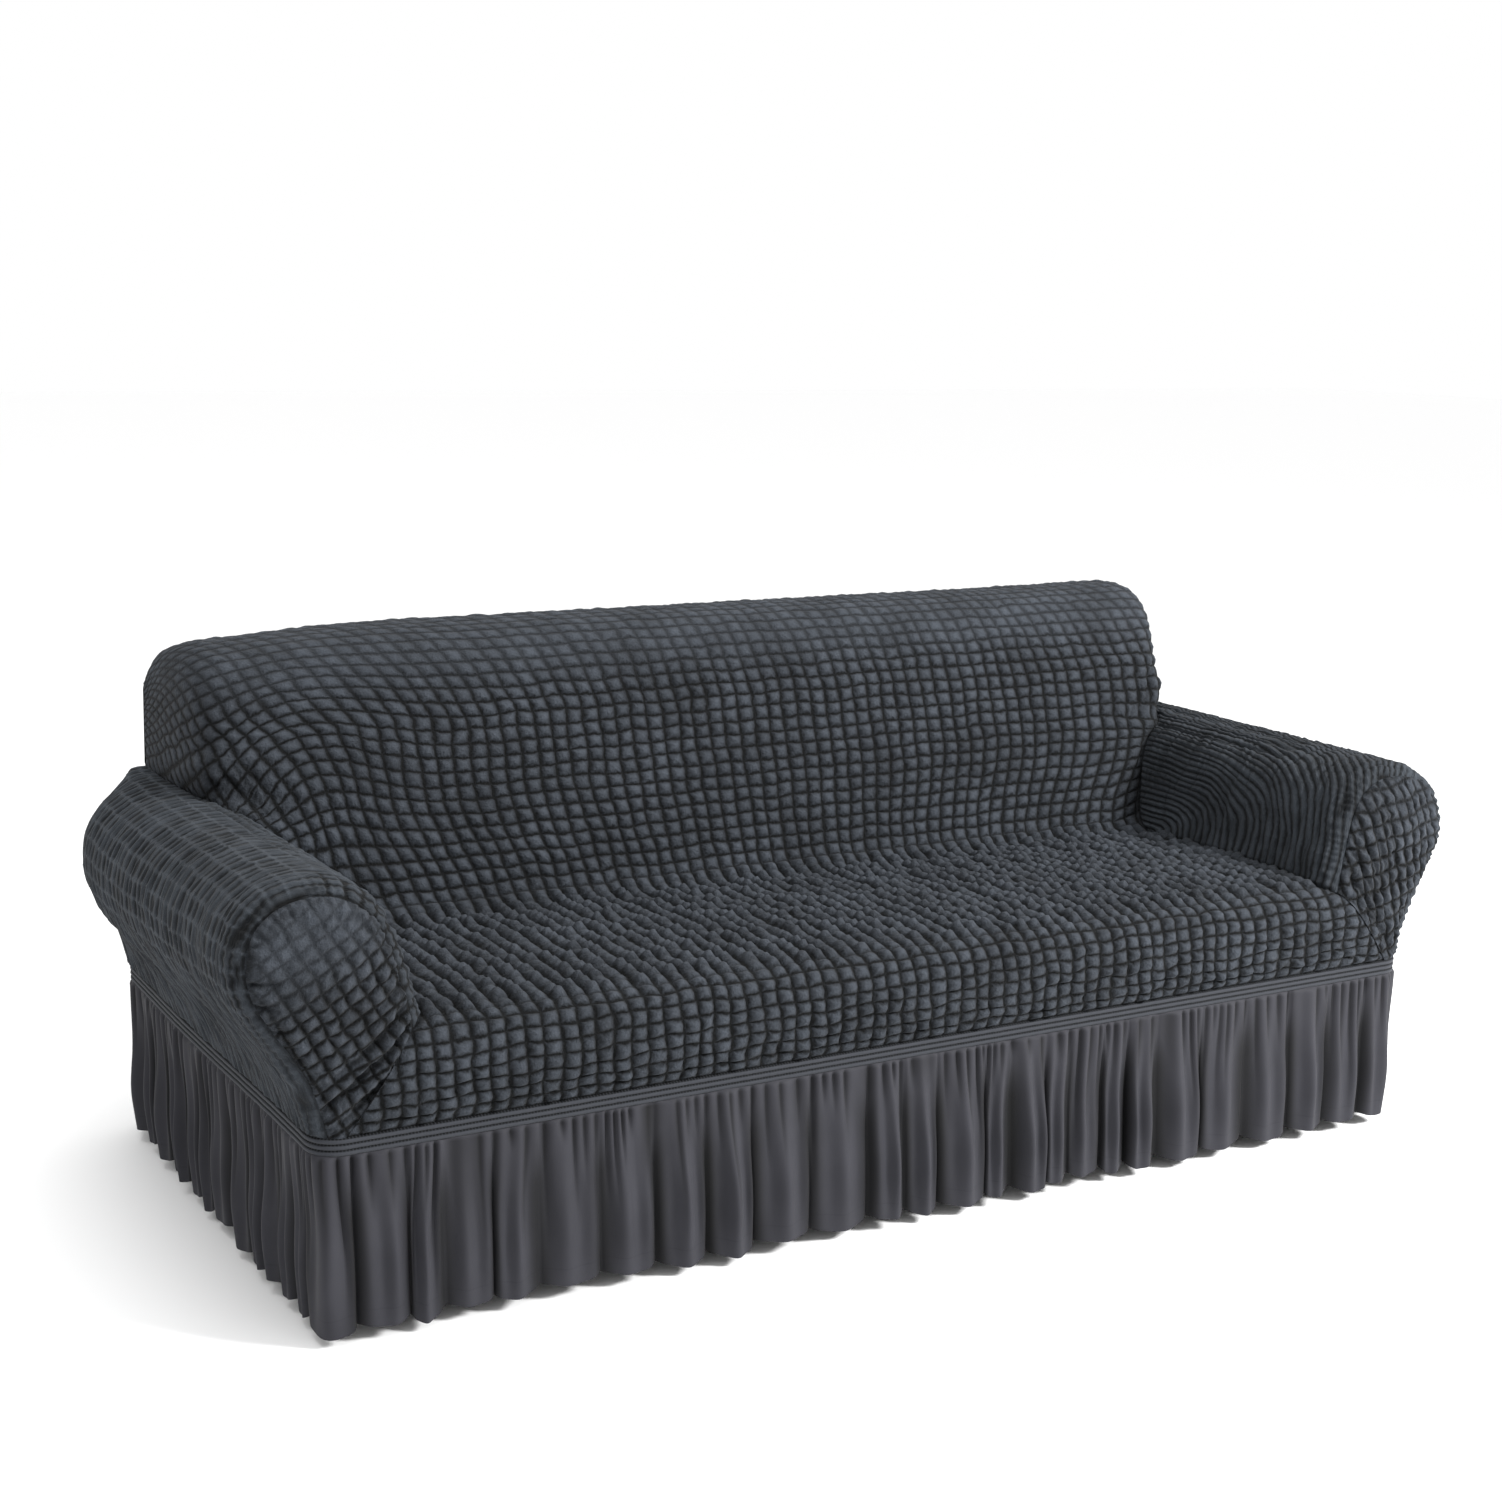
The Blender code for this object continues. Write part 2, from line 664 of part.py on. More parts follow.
def place(name, mesh, material, collection, carrier):
    part = bpy.data.objects.new(name, mesh)
    collection.objects.link(part)
    part.parent = carrier
    mesh.materials.clear()
    mesh.materials.append(material)
    mesh.shade_smooth()
    return part


def mesh_from(bm, name):
    mesh = bpy.data.meshes.new(name)
    bm.to_mesh(mesh)
    bm.free()
    return mesh


def build():
    for old in list(bpy.data.objects):
        bpy.data.objects.remove(old)
    collection = bpy.data.collections.new("sofa_slipcover")
    bpy.context.scene.collection.children.link(collection)
    carrier = bpy.data.objects.new("hang_point", None)
    carrier.location = [-c for c in HANG_POINT]
    collection.objects.link(carrier)

    stretch_cloth = cloth("bubble_stretch_cloth", (0.042, 0.050, 0.060), 0.9)
    elastic = cloth("ribbed_elastic", (0.110, 0.115, 0.130), 0.8)
    skirt_cloth = cloth("plain_polyester_cloth", (0.085, 0.082, 0.095), 0.85)

    surface = fitted_surface()
    outer_count = len(surface.vertices)
    shell = thick_surface(surface, collection)
    for index, name in enumerate(PIECES):
        place(name, cut_piece(shell, outer_count, index), stretch_cloth, collection, carrier)

    place("elastic_band", mesh_from(elastic_band(), "elastic_band"), elastic, collection, carrier)

    hanging = place("skirt", mesh_from(skirt(), "skirt"), skirt_cloth, collection, carrier)
    thicken = hanging.modifiers.new("cloth thickness", "SOLIDIFY")
    thicken.thickness = SKIRT_THICKNESS
    thicken.offset = -1.0
    thicken.use_even_offset = True


build()
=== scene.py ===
"""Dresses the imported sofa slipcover: puffed stretch cloth, a stitched elastic band and a gathered skirt.

Every panel of the cover is laid on the same fitted surface as its solid. Heights and depths below are
measured from the floor under the middle of the sofa, and HANG_POINT moves them into the frame.
"""

import math

import bmesh
import bpy
import numpy as np
from mathutils import Matrix, Vector


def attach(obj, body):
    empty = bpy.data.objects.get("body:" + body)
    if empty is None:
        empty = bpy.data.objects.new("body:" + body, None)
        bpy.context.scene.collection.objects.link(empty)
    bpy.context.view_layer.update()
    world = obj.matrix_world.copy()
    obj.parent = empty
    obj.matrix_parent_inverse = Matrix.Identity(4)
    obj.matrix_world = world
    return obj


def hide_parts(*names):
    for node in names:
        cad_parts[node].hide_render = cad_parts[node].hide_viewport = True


bl_info = {
    "name": "Sofa Slipcover Dressing",
    "version": (1, 0, 0),
    "blender": (4, 5, 0),
    "location": "3D Viewport > Sidebar > Slipcover",
    "description": "Lays puffed stretch cloth, an elastic band and a gathered skirt over a slipcover's frame",
    "category": "Object",
}

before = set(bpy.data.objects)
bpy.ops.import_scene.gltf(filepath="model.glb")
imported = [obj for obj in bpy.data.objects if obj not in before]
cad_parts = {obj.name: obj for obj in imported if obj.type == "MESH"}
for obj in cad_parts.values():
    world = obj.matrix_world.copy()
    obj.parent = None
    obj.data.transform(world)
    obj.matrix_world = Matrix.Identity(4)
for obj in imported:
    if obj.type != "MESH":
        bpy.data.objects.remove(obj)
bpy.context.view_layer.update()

# ---------------------------------------------------------------- the fitted surface's sizes, metres
HALF_LENGTH = 1.000
HALF_DEPTH = 0.478
CORNER_RADIUS = 0.045
BAND_BOTTOM = 0.2750
BAND_TOP = 0.3010
HEM_HEIGHT = 0.018
HANG_POINT = np.array([0.0, 0.325, 0.880])

# Middle section from the band up the front, over the seat and the back: depth y, height z
SECTION = (
    (-0.478, 0.301),
    (-0.481, 0.345),
    (-0.480, 0.385),
    (-0.471, 0.417),
    (-0.446, 0.438),
    (-0.370, 0.446),
    (-0.200, 0.448),
    (-0.040, 0.442),
    (0.022, 0.438),
    (0.058, 0.452),
    (0.082, 0.490),
    (0.126, 0.620),
    (0.168, 0.750),
    (0.198, 0.826),
    (0.245, 0.871),
    (0.312, 0.886),
    (0.385, 0.878),
    (0.440, 0.850),
    (0.458, 0.815),
)
CREASE = (0.030, 0.438)
RISE_ROW_HEIGHT = 0.635
TURN_ROW_HEIGHT = 0.735

# Right arm seen from the front, from the seat over the roll to the band: x, height z
ARM_SECTION = (
    (0.832, 0.438),
    (0.844, 0.500),
    (0.861, 0.560),
    (0.890, 0.614),
    (0.935, 0.645),
    (0.985, 0.653),
    (1.040, 0.641),
    (1.081, 0.608),
    (1.100, 0.560),
    (1.095, 0.505),
    (1.067, 0.450),
    (1.035, 0.402),
    (1.012, 0.352),
    (1.000, 0.301),
)
ARM_SEAM_FRONT = -0.470
ARM_LEAN = 0.10
SEAM_INSET_DEPTH = 0.008
ARM_BULGE = 0.012
ARM_FACE_CENTRE = (0.965, 0.500)
ARM_TURN_PLACE = 0.905  # x at which the seam beside the back starts to turn
ROLL_END_START = 0.270
ROLL_END_DROP = 0.045
ROLL_END_HEIGHTS = (0.40, 0.60)
ROLL_WIDTH = 0.06

BACK_END = 0.972
BACK_END_START = 0.780
BACK_CORNER_START = 0.865
BACK_TOP_RADIUS = 0.030
CORNER_SQUARENESS = 0.93
TURN_SQUARENESS = 2.5
TIGHT_TURN = 0.04
END_LIFT = 0.75
REAR_SEAM_INSET = 0.002
FALL_SEAM_START = HALF_LENGTH - CORNER_RADIUS
JOIN_SHARE = 0.12

# The ends sit unevenly: at each height, how far the left end lies out and up, and the right end
END_SETTLE = (
    (0.000, 0.012, 0.000, 0.006, 0.000),
    (0.301, 0.018, 0.004, 0.022, 0.000),
    (0.440, 0.028, 0.000, 0.030, -0.002),
    (0.520, 0.016, -0.004, 0.034, -0.004),
    (0.650, 0.002, -0.014, 0.026, -0.008),
    (0.800, 0.000, -0.012, 0.028, 0.000),
    (0.886, 0.000, -0.018, 0.034, 0.003),
)
SETTLE_START = 0.60
LEFT_SETTLE_LENGTH = 0.70

# Skirt folds, at the same places as the solid's: how far apart, then each as a share of that or of 1
SKIRT_FOLD_PITCH = 0.077
SKIRT_FOLD_WIDTHS = (0.62, 1.38)
SKIRT_FOLD_STRENGTHS = (0.50, 1.0)
SKIRT_FLARE_FRONT = 0.008
SKIRT_FLARE_SIDE = -0.008
HEM_UNEVENNESS = 0.004
FOLD_SEED = 11

# The solid's rows, which fix how the seat and back panel turns round the back's ends
FALL_STEPS = 4
SEAT_STEPS = 10
RISE_STEPS = 6
TURN_STEPS = 5
RISE_ROW = FALL_STEPS + SEAT_STEPS + RISE_STEPS - 1

# ---------------------------------------------------------------- the cloth's own sizes, metres
SQUARE_ON_SEAT = 0.0275  # width of one puffed square
SQUARE_ON_BACK = 0.0303
SQUARE_HEIGHT = 0.0229
BAND_ROWS = 4.0  # so many rows above the band are drawn together, by up to the next share
BAND_ROWS_SHRINK = 0.30
SQUARE_ALONG_ARM = 0.023  # the arms' cloth is drawn together along them
SQUARE_ROUND_ARM = 0.030
STEPS_ACROSS = (0.0, 0.14, 0.38, 0.62, 0.86)  # where the mesh has lines in a square
STEPS_UP = (0.0, 0.18, 0.5, 0.82)
STEPS_ON_ARM = (0.0, 0.1, 0.3, 0.5, 0.7, 0.9)
STEPS_FINE = tuple(k / 10 for k in range(10))  # round the arms, and both ways on their fronts
BACK_SEAM = (0.0030, 0.012)  # depth and half width of a pressed-in seam
ARM_SEAM = (0.0008, 0.006)
GATHER_PITCH = 0.015  # small pleats along the arm fronts' seams,
GATHER_HEIGHT = 0.0022  # so high at the seam,
GATHER_REACH = 0.022  # and fading over this length
NOISE_SIZE = 97  # units after which the noise repeats
FOLD_SHADE = 0.85  # painted shade of a fold that is at least as deep as the next value
FULL_FOLD = 0.008
CREASE_ENDS = (0.12, 0.88)  # the part of a half sine that a crease's depth follows
MERGE_DISTANCE = 0.0002  # points that the seams bring this near each other become one
PUFF_ARCH = 0.9  # below 1 the squares are fuller than a sine
PUFF_UNEVENNESS = 0.34
PUFF_TILT = 0.50
PUFF_CRINKLE = 0.20
STRIP_ARCH = 0.7  # fullness of the strips of the drawn cloth, and of the stretches between its tight lines
STRETCH_ARCH = 0.6
STRIP_WAVER = 0.16
STRIP_UNEVENNESS = 0.45
STRIP_CRINKLE = 0.35
SQUARE_STRAY = 0.003  # how far the squares lie from their places,
STRAY_SQUARES = 1.4  # in clumps of about so many squares,
STRAY_EDGE = 0.03  # except near the seams

# Creases of the back, fanning up and out from the arms: from x, z to x, z, then depth and half width
BACK_CREASES = (
    (-0.815, 0.600, -0.870, 0.690, 0.0050, 0.0050),
    (-0.835, 0.605, -0.900, 0.720, 0.0080, 0.0050),
    (-0.855, 0.615, -0.925, 0.725, 0.0090, 0.0050),
    (-0.872, 0.628, -0.945, 0.712, 0.0080, 0.0050),
    (-0.890, 0.642, -0.958, 0.695, 0.0070, 0.0050),
    (0.870, 0.640, 0.935, 0.760, 0.0060, 0.0060),
    (0.840, 0.620, 0.900, 0.740, 0.0050, 0.0060),
)
# By the left arm the cloth's grain is turned: the turn's centre x, z, its angle and reach
BACK_TWIST = (-0.880, 0.680, math.radians(40), 0.15)
# Folds of the arm fronts, drawn together under the roll: from x, z to x, z, then depth and half width
LEFT_FRONT_FOLDS = (
    (-0.838, 0.455, -1.000, 0.330, 0.0120, 0.0050),
    (-0.836, 0.470, -0.985, 0.352, -0.0060, 0.0060),
    (-0.838, 0.484, -0.965, 0.385, 0.0100, 0.0048),
    (-0.838, 0.500, -0.930, 0.430, -0.0050, 0.0055),
    (-0.850, 0.430, -0.985, 0.318, -0.0060, 0.0055),
    (-0.862, 0.410, -0.960, 0.322, 0.0100, 0.0045),
    (-0.885, 0.380, -0.945, 0.322, 0.0080, 0.0045),
    (-0.842, 0.515, -0.900, 0.478, 0.0070, 0.0048),
    (-1.085, 0.470, -1.035, 0.455, 0.0080, 0.0045),
    (-1.090, 0.500, -1.045, 0.490, 0.0080, 0.0045),
    (-1.090, 0.530, -1.040, 0.525, 0.0070, 0.0045),
)
RIGHT_FRONT_FOLDS = (
    (0.880, 0.560, 0.950, 0.400, 0.0060, 0.0050),
    (0.900, 0.590, 0.965, 0.400, 0.0050, 0.0050),
    (0.866, 0.520, 0.935, 0.390, 0.0060, 0.0045),
    (0.930, 0.610, 0.975, 0.420, 0.0050, 0.0050),
    (0.862, 0.470, 0.945, 0.360, 0.0070, 0.0045),
    (0.880, 0.420, 0.960, 0.340, 0.0060, 0.0045),
)
# Long folds on top of the arms: shares round the section, then depth and half width as a share
TOP_FOLDS = {
    "left": ((0.302, 0.0050, 0.0060), (0.326, 0.0055, 0.0060), (0.356, 0.0040, 0.0060)),
    "right": (
        (0.300, 0.0050, 0.0070),
        (0.340, 0.0060, 0.0070),
        (0.385, 0.0070, 0.0070),
        (0.435, 0.0060, 0.0070),
    ),
}
ARC_PITCH = 0.018  # the right arm's drawn arcs lie round the corner of seat and back
ARC_REACH = (0.50, 0.30)  # from that corner forwards and up round the arm
ARC_END = 0.47  # share round the arm's section at which they end on top of the roll,
ARC_FADE = 0.43  # share from which they fade there,
ARC_GAP = 0.02  # and half width of the stretch without grooves


# ---------------------------------------------------------------- small helpers
def smooth(t):
    """0 to 1 with soft ends."""
    t = np.clip(t, 0.0, 1.0)
    return t * t * (3.0 - 2.0 * t)


def ramp(value, start, end):
    """Softly from 0 at the start to 1 at the end."""
    return smooth((value - start) / (end - start))


def bell(t):
    """1 at nought, and next to nothing beyond 2 on both sides."""
    return np.exp(-(t * t))


def arch(place, power=1.0):
    """Nought at whole numbers, rising to 1 half-way between them."""
    return np.sin(math.pi * (place % 1.0)) ** power


def mix(a, b, t):
    """a where t is 0, b where t is 1."""
    return a + (b - a) * t


def grid_of(x, y, z):
    """One grid of points from their coordinates."""
    return np.stack(np.broadcast_arrays(x, y, z), axis=-1)


def linear(code):
    """An sRGB hex colour as linear red, green and blue."""
    channels = [int(code[k : k + 2], 16) / 255 for k in (1, 3, 5)]
    return tuple(c / 12.92 if c <= 0.04045 else ((c + 0.055) / 1.055) ** 2.4 for c in channels)


def spline(points, samples=24):
    """A dense smooth line through the points (Catmull-Rom)."""
    p = np.array(points, float)
    p = np.vstack([2 * p[0] - p[1], p, 2 * p[-1] - p[-2]])
    line = []
    for k in range(1, len(p) - 2):
        for t in np.arange(samples) / samples:
            cubic = 3 * p[k] - p[k - 1] - 3 * p[k + 1] + p[k + 2]
            square = 2 * p[k - 1] - 5 * p[k] + 4 * p[k + 1] - p[k + 2]
            line.append(0.5 * (2 * p[k] + (p[k + 1] - p[k - 1]) * t + square * t * t + cubic * t**3))
    line.append(p[-2])
    return np.array(line)


def run_lengths(line):
    """Length along a line up to each of its points."""
    return np.concatenate([[0.0], np.cumsum(np.linalg.norm(np.diff(line, axis=0), axis=1))])


def at_length(line, length):
    """The points at these lengths along a line."""
    run = run_lengths(line)
    return np.stack([np.interp(length, run, column) for column in line.T], axis=-1)


def along(line, share):
    """The points at these shares of a line's length."""
    return at_length(line, np.asarray(share) * run_lengths(line)[-1])


def share_where(line, column, value, start=0.0):
    """The share of the length, past start, where a column first reaches the value."""
    share = run_lengths(line) / run_lengths(line)[-1]
    for k in range(1, len(line)):
        low, high = line[k - 1, column], line[k, column]
        if share[k] > start and min(low, high) <= value <= max(low, high) and low != high:
            return mix(share[k - 1], share[k], (value - low) / (high - low))
    raise ValueError("the line never reaches that value")


def wander(u, v, seed):
    """Smooth noise from -1 to 1 that changes over about one unit."""
    lattice = np.random.RandomState(seed).uniform(-1.0, 1.0, (NOISE_SIZE, NOISE_SIZE))
    i, j = np.floor(u).astype(int), np.floor(v).astype(int)
    fu, fv = smooth(u - i), smooth(v - j)
    i0, i1, j0, j1 = i % NOISE_SIZE, (i + 1) % NOISE_SIZE, j % NOISE_SIZE, (j + 1) % NOISE_SIZE
    low = mix(lattice[i0, j0], lattice[i1, j0], fu)
    high = mix(lattice[i0, j1], lattice[i1, j1], fu)
    return mix(low, high, fv)


def square_lines(start, stop, steps):
    """Places of the mesh's lines, in squares, from one whole square to another."""
    return np.array([k + step for k in range(start, stop) for step in steps] + [stop])


# ---------------------------------------------------------------- the fitted surface
SECTION_LINE = spline(SECTION)
ARM_LINE = spline(ARM_SECTION)


def seam_front(z):
    """y of the arm's front seam at a height."""
    return ARM_SEAM_FRONT + ARM_LEAN * (z - BAND_TOP)


FALL_END = share_where(SECTION_LINE, 0, seam_front(ARM_SECTION[0][1]), 0.05)
SEAT_END = share_where(SECTION_LINE, 0, CREASE[0], 0.2)
RISE_END = share_where(SECTION_LINE, 1, RISE_ROW_HEIGHT, SEAT_END)
TURN_END = share_where(SECTION_LINE, 1, TURN_ROW_HEIGHT, SEAT_END)
SEAM_TURN = share_where(ARM_LINE, 0, ARM_TURN_PLACE)
SEAM_REAR = share_where(ARM_LINE, 0, BACK_END)
SEAT_LINE = along(SECTION_LINE, np.linspace(FALL_END, SEAT_END, 60))
BACK_LINE = along(SECTION_LINE, np.linspace(SEAT_END, TURN_END, 60))
REAR_SEAM_DEPTH = HALF_DEPTH - REAR_SEAM_INSET


def corner_inset(depth, radius=CORNER_RADIUS):
    """How far a rounded edge is drawn in at this depth behind its foremost line."""
    left = np.clip(radius - depth, 0.0, radius)
    return radius - np.sqrt(radius**2 - left**2)


def arm_rear(a):
    """y where the arm panel ends, at share a of the arm's section."""
    z = np.maximum(along(ARM_LINE, a)[..., 1], CREASE[1] + 0.001)
    inside = np.where(np.asarray(a) <= 0.0, CREASE[0], np.interp(z, BACK_LINE[:, 1], BACK_LINE[:, 0]))
    turn = np.clip((a - SEAM_TURN) / (SEAM_REAR - SEAM_TURN), 0.0, 1.0)
    return mix(inside, REAR_SEAM_DEPTH, 1.0 - (1.0 - turn**TURN_SQUARENESS) ** (1.0 / TURN_SQUARENESS))


def arm_surface(a, y):
    """Right arm: points at shares a round its section and depths y."""
    x, z = np.moveaxis(along(ARM_LINE, a), -1, 0)
    ahead = along(ARM_LINE, np.minimum(a + 0.01, 1.0)) - along(ARM_LINE, np.maximum(a - 0.01, 0.0))
    tangent = ahead / np.linalg.norm(ahead, axis=-1, keepdims=True)
    end = (a <= 0.0) | (a >= 1.0)
    inward_x = np.where(end, np.sign(tangent[..., 1]), tangent[..., 1])
    inward_z = np.where(end, 0.0, -tangent[..., 0])
    inset = corner_inset(y - seam_front(z) + SEAM_INSET_DEPTH)
    x = x + inward_x * inset
    z = z + inward_z * inset
    past = np.maximum(y - ROLL_END_START, 0.0) / (HALF_DEPTH - ROLL_END_START)
    keep = np.sqrt(np.maximum(1.0 - past * past, 0.0))
    outer = np.asarray(a) > SEAM_REAR
    outside = np.maximum(x - HALF_LENGTH, 0.0) * outer
    low, high = ROLL_END_HEIGHTS
    x = x - outside * (1.0 - keep)
    z = z - ROLL_END_DROP * (1.0 - keep) * smooth(outside / ROLL_WIDTH) * ramp(z, low, high)
    x = x - corner_inset(HALF_DEPTH - y) * smooth((a - SEAM_REAR) / JOIN_SHARE) * outer
    seat = np.interp(y, SEAT_LINE[:, 0], SEAT_LINE[:, 1]) - ARM_SECTION[0][1]
    z = z + seat * (1.0 - smooth(a / JOIN_SHARE)) * (y <= CREASE[0])
    return grid_of(x, y, z)


def rear_seam(t):
    """The rear seam beside the back, from the arm (t = 0) to its upper corner (t = 1)."""
    low = arm_surface(np.array(SEAM_REAR), np.array(REAR_SEAM_DEPTH))
    straight = SECTION[-1][1] - BACK_TOP_RADIUS - low[2]
    run = np.asarray(t) * (straight + BACK_TOP_RADIUS * math.pi / 2)
    turn = np.maximum(run - straight, 0.0) / BACK_TOP_RADIUS
    x = low[0] - BACK_TOP_RADIUS * (1.0 - np.cos(turn))
    y = mix(REAR_SEAM_DEPTH, SECTION[-1][0], smooth(turn * 2 / math.pi))
    z = np.minimum(low[2] + run, low[2] + straight) + BACK_TOP_RADIUS * np.sin(turn)
    return grid_of(x, y, z)


def row_number(share):
    """The solid's row at a share of the middle section's length, as a fraction."""
    ends = (0.0, FALL_END, SEAT_END, RISE_END, TURN_END)
    rows = np.cumsum((0, FALL_STEPS, SEAT_STEPS, RISE_STEPS, TURN_STEPS))
    return np.interp(share, ends, rows)


def side_seam(share):
    """Right-hand end of the seat and back panel's row at a share of the middle section."""
    y, z = along(SECTION_LINE, share)
    if share <= FALL_END:
        corner = arm_surface(np.array(0.0), seam_front(ARM_SECTION[0][1]))
        return np.array([mix(FALL_SEAM_START, corner[0], share / FALL_END), y, z])
    if share <= SEAT_END:
        return arm_surface(np.array(0.0), np.array(y))
    if share <= TURN_END:
        rise = min((share - SEAT_END) / (RISE_END - SEAT_END), 1.0)
        turn = math.sin(math.pi / 2 * max((share - RISE_END) / (TURN_END - RISE_END), 0.0))
        a = np.array(SEAM_TURN * rise + (SEAM_REAR - SEAM_TURN) * turn)
        return arm_surface(a, arm_rear(a))
    return rear_seam(((share - TURN_END) / (1.0 - TURN_END)) ** END_LIFT)


def half_row(share, samples=28):
    """The seat and back panel's row from the middle to its right-hand end."""
    y, z = along(SECTION_LINE, share)
    turned = smooth((row_number(share) - RISE_ROW) / TURN_STEPS)
    start = np.array([mix(BACK_END_START, BACK_CORNER_START, turned), y, z])
    end = side_seam(share)
    reach = end - start
    turned *= min(math.hypot(reach[1], reach[2]) / TIGHT_TURN, 1.0)
    lead = mix(reach / 3, np.array([reach[0] * CORNER_SQUARENESS, 0.0, 0.0]), turned)
    arrive = mix(reach / 3, np.array([0.0, reach[1], reach[2]]) * CORNER_SQUARENESS, turned)
    s = np.linspace(0.0, 1.0, samples)[:, None]
    curve = (1 - s) ** 3 * start + 3 * s * (1 - s) ** 2 * (start + lead)
    curve += 3 * s * s * (1 - s) * (end - arrive) + s**3 * end
    return np.vstack([[0.0, y, z], curve])


def settle(points):
    """Moves the points of both ends to where they unevenly lie."""
    height, left_out, left_up, right_out, right_up = np.array(END_SETTLE).T
    x, y, z = points[..., 0], points[..., 1], points[..., 2]
    share = ramp(np.abs(x), SETTLE_START, HALF_LENGTH)
    left = share * smooth((y + HALF_DEPTH) / LEFT_SETTLE_LENGTH) * (x < 0)
    right = share * (x >= 0)
    out = right * np.interp(z, height, right_out) - left * np.interp(z, height, left_out)
    up = right * np.interp(z, height, right_up) + left * np.interp(z, height, left_up)
    return grid_of(x + out, y, z + up)


def base_outline(run):
    """Points and outward directions on the base's outline, from the middle of the rear, leftwards."""
    half = HALF_LENGTH - CORNER_RADIUS
    depth = HALF_DEPTH - CORNER_RADIUS
    rows = [(0.0, HALF_DEPTH, 0.0, 1.0)]
    for x, y, start in ((-half, depth, 90), (-half, -depth, 180), (half, -depth, 270), (half, depth, 0)):
        for angle in np.radians(start + np.linspace(0, 90, 13)):
            c, s = math.cos(angle), math.sin(angle)
            rows.append((x + CORNER_RADIUS * c, y + CORNER_RADIUS * s, c, s))
    rows = np.array(rows + rows[:1])
    length = run_lengths(rows[:, :2])
    at = np.mod(run, length[-1])
    return np.stack([np.interp(at, length, column) for column in rows.T], axis=-1)


BASE_LENGTH = (
    4 * (HALF_LENGTH - CORNER_RADIUS) + 4 * (HALF_DEPTH - CORNER_RADIUS) + 2 * math.pi * CORNER_RADIUS
)


# ---------------------------------------------------------------- cloth relief
def surface_frame(points):
    """Unit vectors along the rows and the columns of a grid of points, and its normals."""
    across = np.gradient(points, axis=1)
    up = np.gradient(points, axis=0)
    vectors = (across, up, np.cross(across, up))
    return [vector / np.maximum(np.linalg.norm(vector, axis=-1, keepdims=True), 1e-12) for vector in vectors]


def facing_out(centre, points, *grids):
    """The points and what belongs to them, all mirrored if their normals would face the centre."""
    outward = ((points - np.array(centre)) * surface_frame(points)[2]).sum() > 0.0
    return [grid if outward else grid[:, ::-1] for grid in (points, *grids)]


def puffs(u, v, seed, columns=1.0, rows=1.0):
    """Relief of the puffed squares from 0 in the grooves to about 1, at places u and v in squares.

    columns and rows say how deep the grooves between columns and between rows are."""
    square_u, square_v = np.floor(u), np.floor(v)
    fullness = 1.0 + PUFF_UNEVENNESS * wander(square_u, square_v, seed)
    tilt = wander(square_u, square_v, seed + 1) * (u % 1.0 - 0.5)
    tilt = tilt + wander(square_u, square_v, seed + 3) * (v % 1.0 - 0.5)
    crinkle = PUFF_CRINKLE * wander(u * 3.1, v * 3.7, seed + 2)
    relief = mix(1.0, arch(u, PUFF_ARCH), columns) * mix(1.0, arch(v, PUFF_ARCH), rows)
    return relief * (fullness + PUFF_TILT * tilt + crinkle)


def drawn_strips(u, v, seed, columns, broken):
    """Relief of squares that are drawn together along the arm: grooves broken by raised lines."""
    place = u + STRIP_WAVER * wander(u * 0.7, v * 0.9, seed)
    groove = 1.0 - arch(place, STRIP_ARCH)
    within = mix(1.0, arch(v, STRETCH_ARCH), broken)
    uneven = 1.0 + STRIP_UNEVENNESS * wander(u * 0.9, np.floor(v) * 1.3, seed + 1)
    crinkle = STRIP_CRINKLE * wander(u * 2.2, v * 0.8, seed + 2)
    return 1.0 - groove * within * uneven * columns + crinkle


def gathers(run, away, seed):
    """Relief of the small pleats by a seam, at distances along it and away from it."""
    beat = run / GATHER_PITCH + 0.8 * wander(run / 0.05, 0.0, seed)
    return GATHER_HEIGHT * np.sin(2 * math.pi * beat) * np.exp(-away / GATHER_REACH)


def painted_fold_shade(depth):
    """Painted shade for folds of this depth, from 0 to FOLD_SHADE."""
    return FOLD_SHADE * np.clip(depth / FULL_FOLD, 0.0, 1.0)


def creases(points, lines):
    """Depth of straight creases near flat points. Each line is from, to, depth and half width."""
    total = np.zeros(points.shape[:-1])
    for *ends, depth, half_width in lines:
        start, end = np.reshape(ends, (2, 2))
        reach = end - start
        t = np.clip((points - start) @ reach / (reach @ reach), 0.0, 1.0)
        distance = np.linalg.norm(points - start - t[..., None] * reach, axis=-1)
        total += depth * bell(distance / half_width) * np.sin(math.pi * mix(*CREASE_ENDS, t))
    return total


def twist(x, z, centre_x, centre_z, angle, reach):
    """How far a turn of the grain about a centre moves the places under x and z."""
    from_x, from_z = x - centre_x, z - centre_z
    turn = -angle * np.exp(-(from_x**2 + from_z**2) / reach**2)
    c, s = np.cos(turn), np.sin(turn)
    return from_x * c - from_z * s - from_x, from_x * s + from_z * c - from_z


def lay_cloth(points, u, v, edge, relief, seed, seam, stray=SQUARE_STRAY):
    """Raises the relief from a surface, lets the squares stray a little and presses in the seams."""
    seam_depth, seam_width = seam
    free = smooth(edge / seam_width)
    raised = relief * free - seam_depth * (1.0 - free)
    clumps = (wander(u / STRAY_SQUARES, v / STRAY_SQUARES, draw) for draw in (seed, seed + 7))
    sideways, upwards = (stray * clump * smooth(edge / STRAY_EDGE) for clump in clumps)
    moves = zip(surface_frame(points), (sideways, upwards, raised))
    return points + sum(direction * size[..., None] for direction, size in moves)


